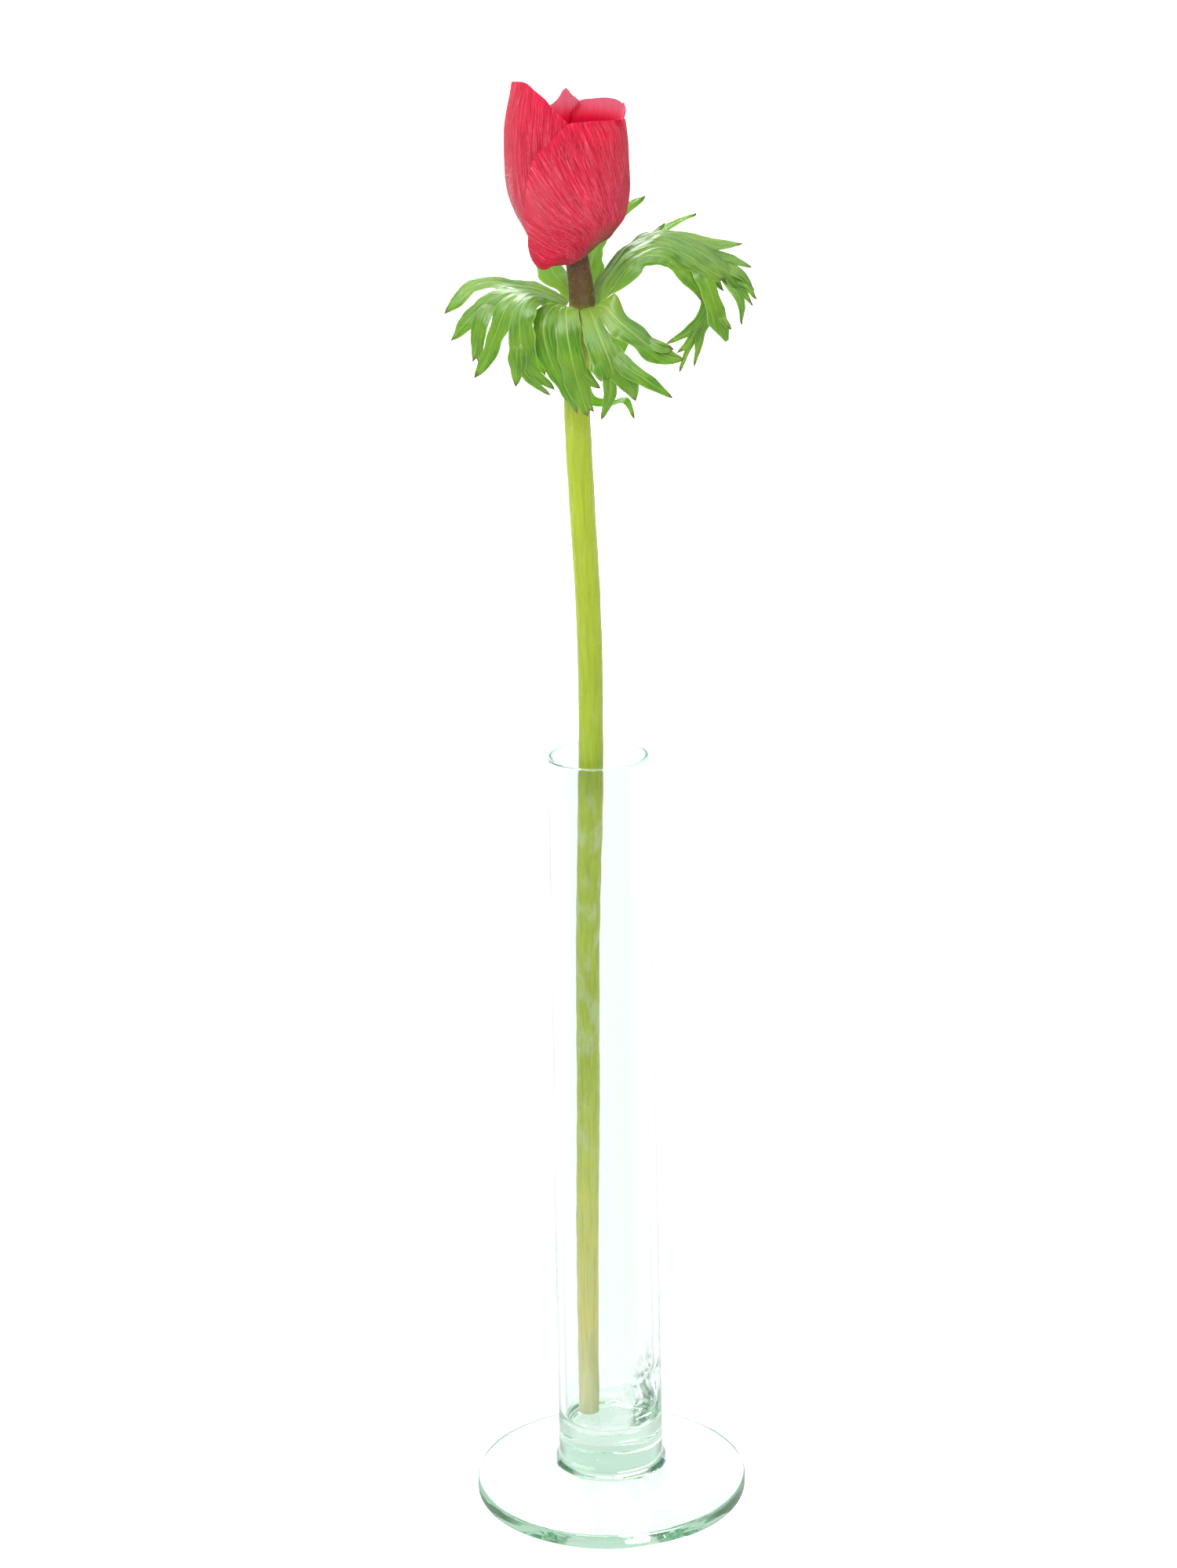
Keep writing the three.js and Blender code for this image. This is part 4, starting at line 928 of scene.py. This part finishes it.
def blade(finger, seed, joins):
    """One finger as a thin sheet. joins gives each finger that it shares a palm with, and both reaches."""
    at, widths, _ = finger
    steps = ROWS_PER_POINT * (len(at) - 1) + 1
    middle, across, up, wide = blade_lines(finger, steps)
    t = np.linspace(0, 1, steps)
    length = lengths_along(middle)
    left = length[-1] - length
    pointed = widths[-1] < 1
    is_tooth = np.linalg.norm(middle[0] - np.array(JOINT)) > 1.2 * LEAF_ROOT
    tip = 1 - pointed * np.clip(1 - left / TIP_LENGTH, 0, 1) ** 2
    if is_tooth:
        tip = tip * (0.45 + 0.55 * smooth(t, 0, 0.3))
    edges = {}
    for side in (-1, 1):
        uneven = 1.08 + 0.1 * wavy(length, 9 * side + 0 * length, seed, 5)
        edges[side] = middle + across * (side * wide / 2 * uneven * tip)[:, None]
    for other, reach, other_reach in joins:
        shared = (middle + along(other[0], np.minimum(t / reach, 1) * other_reach)) / 2
        side = 1 if ((shared - middle) * across)[t < reach].sum() > 0 else -1
        hold = fade(t, 0.8 * reach, reach + 0.05)[:, None]
        edges[side] = edges[side] + (shared - edges[side]) * hold
    u = np.sin(np.linspace(-math.pi / 2, math.pi / 2, LEAF_COLUMNS))[None, :]
    to_left, to_right = ((edges[side] - middle)[:, None] for side in (-1, 1))
    away = np.where(u[..., None] < 0, to_left * -u[..., None], to_right * u[..., None])
    x = (away * across[:, None]).sum(-1)
    y = length[:, None] + 0 * x
    groove = GROOVE * np.exp(-((x / GROOVE_WIDTH) ** 2)) * smooth(wide, 0.8, 2.5)[:, None]
    lift = LEAF_ARCH * wide[:, None] * (1 - u**2) - groove
    lift = lift + 0.22 * wavy(y, 2 * x, seed + 50, 8) * u**2 + 0.05 * wavy(y, 3 * x, seed + 90, 2.5)
    if is_tooth:
        lift = lift - TOOTH_TUCK * fade(t, 0, 0.5)[:, None]
    sheet = middle[:, None] + away + up[:, None] * lift[..., None]
    half = LEAF_SHEET / 2 * up[:, None] * (1 - 0.6 * u[..., None] ** 6)
    from_root = y + (TOOTH_FROM if is_tooth else 0)
    marks = {
        "tip": pointed * fade(length[-1] - y, 0.3, 2.2),
        "young_and_backlit": fade(from_root, *YOUNG_AND_BACKLIT_FADE),
        "rooted": fade(from_root, *RIB_FADE),
    }
    marks = {name: np.tile(values.ravel(), 2) for name, values in marks.items()}
    place = np.stack([x, y + 31 * seed, u + 0 * x], -1).reshape(-1, 3)
    marks["blade"] = np.tile(place, (2, 1))
    marks["upper"] = np.repeat([1.0, 0.0], x.size)
    return closed_sheet(sheet + half, sheet - half), marks


def leaf(name):
    rows, palms, young_and_backlit = LEAVES[name]
    fingers = [(np.array(at) + [0, 0, JOINT[2]], widths, facing) for at, widths, facing in rows]
    joins = [[] for _ in rows]
    for a, b, reach_a, reach_b in palms:
        joins[a].append((fingers[b], reach_a, reach_b))
        joins[b].append((fingers[a], reach_b, reach_a))
    blades = [blade(finger, seed, joins[seed]) for seed, finger in enumerate(fingers)]
    piece = mesh_of(name, *joined([shape for shape, _ in blades]))
    for mark in ("blade", "tip", "young_and_backlit", "rooted", "upper"):
        values = np.concatenate([marks[mark] for _, marks in blades])
        attribute(piece, mark, values * young_and_backlit if mark == "young_and_backlit" else values)
    attribute(piece, "behind", np.full(len(piece.data.vertices), float(name == "bract_back")))
    return piece


# Stem, centre and vase


STEM_RIBS = 0.05
STEM_BUMPS = 0.06
STEM_HAIR_WIDTH = 0.035
CENTRE_LOW = 3.7
DOME_MIDDLE = 11
DOME_RADIUS = 4.4
DOME_SIDES = 60
STAMEN = [[0.01, 0], [0.16, 0], [0.14, 4.2], [0.5, 4.6], [0.72, 5.5], [0.55, 6.6], [0.2, 7.0], [0.01, 7.05]]
STAMEN_SIDES = 12
STAMEN_COUNT = 22
STAMEN_TURN = 137.5
STAMEN_LEANS = [52, 40, 30]
STAMEN_RING = 1.6
STAMEN_START = 8.4


def stem_rings(rings, sides):
    """Ring points round the stem, with the ways out of it and along it."""
    t = np.linspace(0, 1, rings)
    middle = along(STEM_PATH, t)
    way = unit(along(STEM_PATH, t + 0.004) - along(STEM_PATH, t - 0.004))
    front = unit(np.cross([0, -1, 0], way))
    side = np.cross(way, front)
    a = around(sides)[None, :]
    out = front[:, None] * np.cos(a)[..., None] + side[:, None] * np.sin(a)[..., None]
    radius = along(STEM_RADII, t)
    radius = radius + STEM_RIBS * wavy(a * 3, middle[:, 2:3] * 0.02, 5, 1.2)
    radius = radius + STEM_BUMPS * wavy(a, middle[:, 2:3] * 0.25, 6, 3.0)
    return middle[:, None] + out * radius[..., None], out, way


def stem():
    """The stem's skin and its two ends."""
    points, _, _ = stem_rings(500, 56)
    rings, sides = points.shape[:2]
    skin = mesh_of("stem", points.reshape(-1, 3), grid_faces(rings, sides, closed=True))
    low, high = points[0], points[-1]
    j = np.arange(sides)
    k = (j + 1) % sides
    middle = np.full(sides, 2 * sides)
    faces = np.concatenate([np.stack([k, j, middle], -1), np.stack([sides + j, sides + k, middle + 1], -1)])
    middles = [low.mean(0, keepdims=True), high.mean(0, keepdims=True)]
    return skin, mesh_of("stem_ends", np.concatenate([low, high, *middles]), faces)


def stem_hairs(count, seed):
    rng = np.random.default_rng(seed)
    points, out, way = stem_rings(900, 90)
    i, j = rng.integers(150, 880, count), rng.integers(0, 90, count)
    ups = out[i, j]
    turn = rng.normal(0, 0.5, (count, 1))
    ways = unit(way[i] * (0.5 + rng.random((count, 1))) + np.cross(way[i], ups) * turn + ups * 0.5)
    t = np.linspace(0, 1, 4)[None, :, None]
    length = rng.uniform(0.5, 1.3, (count, 1, 1))
    middle = points[i, j][:, None] + (ways[:, None] + 0.35 * ups[:, None] * t) * t * length
    return ribbons(middle, np.cross(ways, ups), STEM_HAIR_WIDTH)


def lathe(profile, sides, wobble=0.0):
    """Points of a profile turned round the Z axis."""
    a = around(sides)[None, :]
    r, z = (column[:, None] + 0 * a for column in np.array(profile, float).T)
    r = r + wobble * wavy(np.cos(a) * 14, np.sin(a) * 14 + z * 0.5, 11, 30) * smooth(r, 1, 8)
    return np.stack([r * np.sin(a), -r * np.cos(a), z], -1)


def turned_faces(points):
    return points.reshape(-1, 3), grid_faces(*points.shape[:2], closed=True)


def rounded(profile, spacing):
    """The same profile with extra points, so that its curves turn smoothly."""
    p = np.array(profile, float)
    length = lengths_along(p)
    n = int(length[-1] / spacing)
    at = np.unique(np.concatenate([np.linspace(0, length[-1], n), length]))
    return np.column_stack([np.interp(at, length, column) for column in p.T])


def arc(radius, height, size, start, end, steps):
    a = np.radians(np.linspace(start, end, steps))
    return [[radius + size * math.cos(x), height + size * math.sin(x)] for x in a]


def vase():
    bore_low = TUBE_RADIUS_LOW - TUBE_WALL - WALL_SPREAD
    rim_half = RIM_WALL / 2
    rim_middle = TUBE_RADIUS_TOP - rim_half
    corner = FOOT_RADIUS - FOOT_CORNER
    profile = [
        *FOOT_HOLLOW,
        [FOOT_RADIUS - FOOT_RING, 0],
        *arc(corner, FOOT_CORNER, FOOT_CORNER, -90, 0, 8),
        *arc(corner, FOOT_EDGE - FOOT_CORNER, FOOT_CORNER, 0, 84, 8),
        *FOOT_SLOPE,
        *([TUBE_RADIUS_LOW + out, TUBE_FROM + up] for out, up in JUNCTION),
        [TUBE_RADIUS_LOW, TAPER_FROM],
        *arc(rim_middle, VASE_HEIGHT - rim_half, rim_half, 0, 180, 16),
        [bore_low, TAPER_FROM],
        *arc(bore_low - FLOOR_CORNER, FLOOR_HEIGHT + FLOOR_CORNER, FLOOR_CORNER, 0, -90, 14),
        [0.01, FLOOR_HEIGHT],
    ]
    outline = rounded(profile, 2.0)
    points = lathe(outline, VASE_SIDES, VASE_WOBBLE)
    in_bore = (np.arange(len(outline)) > np.argmax(outline[:, 1]))[:, None]
    low = fade(points[..., 2], FLOOR_HEIGHT + 2, FLOOR_HEIGHT + 16)
    points[..., 2] += FLOOR_TILT * points[..., 0] * low * in_bore
    x, y, z = points[..., 0], points[..., 1], points[..., 2]
    low_right = in_bore * fade(z, FLOOR_HEIGHT + 2, FLOOR_HEIGHT + 26) * smooth(x, -2, 7)
    pool = POOLED * low_right * (wavy(x - y, z, 61, 6) - 0.8)
    points[..., :2] *= (1 + pool / np.maximum(np.hypot(x, y), 4))[..., None]
    return mesh_of("vase", *turned_faces(points))


def centre():
    """The receptacle, the dome and the ring of stamens, each stamen a thread with a lobed head."""
    seat = math.sqrt(DOME_RADIUS**2 - RECEPTACLE_RADIUS**2)
    low = math.degrees(math.atan2(-seat, RECEPTACLE_RADIUS))
    profile = [[0.01, CENTRE_LOW], [RECEPTACLE_RADIUS - 0.6, CENTRE_LOW]]
    profile += arc(0, DOME_MIDDLE, DOME_RADIUS, low, 89, 30)
    dome = lathe(rounded(profile, 0.3), DOME_SIDES)
    x, y, z = dome[..., 0], dome[..., 1], dome[..., 2]
    bumps = 0.12 * wavy(x + z, y - z, 21, 1.0) * smooth(z, 6, 9)
    parts = [turned_faces(dome + unit(dome - [0, 0, DOME_MIDDLE]) * bumps[..., None])]
    outline = rounded(STAMEN, 0.35)
    for i in range(STAMEN_COUNT):
        turn, lean = math.radians(STAMEN_TURN * i), math.radians(STAMEN_LEANS[i % 3])
        shape = lathe(outline, STAMEN_SIDES)
        shape[..., 1] *= 1 - 0.35 * smooth(shape[..., 2], 4.2, 4.8)
        turned = Matrix.Rotation(-turn, 3, "Z") @ Matrix.Rotation(-lean, 3, "X")
        foot = [STAMEN_RING * math.sin(turn), STAMEN_RING * math.cos(turn), STAMEN_START]
        parts.append(turned_faces(shape @ np.array(turned).T + foot))
    points, faces = joined(parts)
    points[:, 0] += BUD_LEAN * (1 - np.exp(-np.maximum(points[:, 2], 0) / BUD_LEAN_RISE))
    return mesh_of("flower_centre", points + FLOWER_BASE, faces)


# The camera, the floor and the light


CAMERA_PLACE = [-2.54, -863, 476]
CAMERA_LENS = 85
CAMERA_DOWN = 18.19
CAMERA_ROLL = 1.1
AIR_GAP = 0.0005
FLOOR_RINGS = [0.02, 0.1, 0.3, 0.8, 2.0, 6.0]
FLOOR_SIDES = 96
LAMP_SIZE = 0.5
FLOOR_GLOW = (1.1, 0.56)  # to the camera, and to matt surfaces
FLOOR_MIRRORED = [(0.15, 0.15, 0.15), (1.0, 1.0, 1.0)]  # in front of the vase, and behind it
FLOOR_IN_GLASS = [(0.5, 0.5, 0.5), (1.19, 1.17, 1.21)]


def placed(name, data):
    made = bpy.data.objects.new(name, data)
    scene.collection.objects.link(made)
    return made


def camera():
    data = bpy.data.cameras.new("camera")
    data.lens, data.sensor_width, data.clip_start, data.clip_end = CAMERA_LENS, 36, 0.05, 40
    pitch, roll = math.radians(90 - CAMERA_DOWN), math.radians(-CAMERA_ROLL)
    turn = Matrix.Rotation(pitch, 4, "X") @ Matrix.Rotation(roll, 4, "Z")
    scene.camera = placed("camera", data)
    scene.camera.matrix_world = Matrix.Translation(Vector(CAMERA_PLACE) * MM) @ turn


def from_matt(s, rays):
    """1 for light that goes to a matt surface, also by way of the glass."""
    return s.maths("MAXIMUM", rays["Is Diffuse Ray"], s.over(rays["Diffuse Depth"], 0.5))


def floor_material():
    s = shader("floor")
    place = s.place()
    rays = s.rays()
    matt = from_matt(s, rays)
    to_camera, to_matt = ((glow,) * 3 for glow in FLOOR_GLOW)
    lit = s.principled({
        "Base Color": s.ramp(s.noise(place, 8.0), (0.3, 0.9), (0.7, 0.93)), "Roughness": 0.9,
        "Specular IOR Level": 0.1, "Emission Strength": 1.0,
        "Emission Color": s.mix(matt, to_camera, to_matt),
    })
    depth = s.line(s.parts(place)[1], 2.5, 0.5)
    mirrored = s.mix(s.ramp(depth, (0.35, 0.0), (0.65, 1.0)), *FLOOR_MIRRORED)
    in_glass = s.mix(s.ramp(depth, (0.32, 0.0), (0.405, 1.0)), *FLOOR_IN_GLASS)
    shown = s.mix(s.over(rays["Transmission Depth"], 0.5), mirrored, in_glass)
    shine = s.node("Emission", {"Color": shown}).outputs[0]
    return s.finish(s.blend(s.maths("MAXIMUM", rays["Is Camera Ray"], matt), shine, lit))


def floor():
    """A wide disc just under the vase, as rings round a middle."""
    a = around(FLOOR_SIDES)
    rings = [np.column_stack([r * np.cos(a), r * np.sin(a), 0 * a - AIR_GAP]) for r in FLOOR_RINGS]
    look = floor_material()
    outer = mesh_of("floor", np.concatenate(rings), grid_faces(len(rings), FLOOR_SIDES, closed=True), 1)
    middle = mesh_of("floor_middle", rings[0], np.arange(FLOOR_SIDES)[None, :], 1)
    for thing in (outer, middle):
        thing.data.materials.append(look)


def world():
    """A white backdrop, brighter from behind and above. The glass also shows a dark panel at each side."""
    s = Shader(bpy.data.worlds.new("studio"))
    aside, back, up = s.parts(s.place("Generated"))
    height = s.line(up, 0.5, 0.5)
    behind = s.ramp(s.line(back, 0.5, 0.5), (0.45, 0.0), (0.75, 1.0))
    matt = s.ramp(height, (0.0, 0.45), (0.5, 0.45), (0.75, 0.75), (1.0, 1.0))
    matt = s.mix(behind, matt, (1.05, 1.05, 1.05))
    shiny = s.ramp(height, (0.0, 0.5), (0.48, 0.35), (0.6, 0.12), (0.75, 0.5), (0.85, 3.4), (1.0, 3.8))
    shiny = s.mix(behind, shiny, (1.3, 1.35, 1.4))
    tall = s.ramp(height, (0.5, 0.0), (0.56, 1.0), (0.78, 1.0), (0.84, 0.0))
    panel = s.times(s.ramp(s.maths("ABSOLUTE", aside), (0.5, 0.0), (0.68, 1.0)), tall)
    rays = s.rays()
    light = s.mix(rays["Is Glossy Ray"], matt, shiny)
    in_glass = s.mix(panel, (1.1, 1.135, 1.16), (0.3, 0.34, 0.3))
    light = s.mix(s.over(rays["Transmission Depth"], 0.5), light, in_glass)
    light = s.mix(from_matt(s, rays), light, matt)
    light = s.mix(rays["Is Camera Ray"], light, (1.0, 1.0, 1.0))
    scene.world = s.finish(s.node("Background", {"Color": light}).outputs[0])


def lamp(name, place, target, power):
    data = bpy.data.lights.new(name, "AREA")
    data.shape, data.size, data.energy = "DISK", LAMP_SIZE, power
    made = placed(name, data)
    made.location = place
    made.rotation_euler = (Vector(place) - Vector(target)).to_track_quat("Z", "Y").to_euler()


# The whole


camera()
floor()
world()
lamp("key", (-0.3, -0.75, 0.95), (0, 0, 0.28), 7)
lamp("rim", (-0.3, 0.7, 0.9), (0, 0, 0.3), 9)
scene.view_settings.view_transform = "Standard"
scene.view_settings.look = "None"
scene.cycles.max_bounces = 20
scene.cycles.glossy_bounces = 12
scene.cycles.transmission_bounces = 16

petal_look = petal_material()
leaf_look = leaf_material()
stem_look = stem_material()
for petal_name in PETALS:
    finish_piece(petal(petal_name), "petal", petal_look, petal_name)
for leaf_name in LEAVES:
    finish_piece(leaf(leaf_name), "leaf", leaf_look, leaf_name)
stalk, ends = stem()
finish_piece(stalk, "stem", stem_look, "stem")
finish_piece(ends, "stem", stem_look)
fuzz = mesh_of("stem_fuzz", *stem_hairs(1800, 31))
finish_piece(fuzz, "stem", hair_material("stem_fuzz", (190, 200, 150), (225, 230, 205)))
silk = joined([petal_silk(*row) for row in SILK])
finish_piece(mesh_of("petal_silk", *silk), "petal", hair_material("silk", (216, 50, 82), (240, 130, 146)))
down = joined([petal_down(*row) for row in DOWN])
finish_piece(mesh_of("petal_down", *down), "petal", hair_material("down", (228, 156, 166), (246, 212, 216)))
finish_piece(centre(), "centre", centre_material(), "flower_centre")
finish_piece(vase(), "glass", glass_material(), "vase")
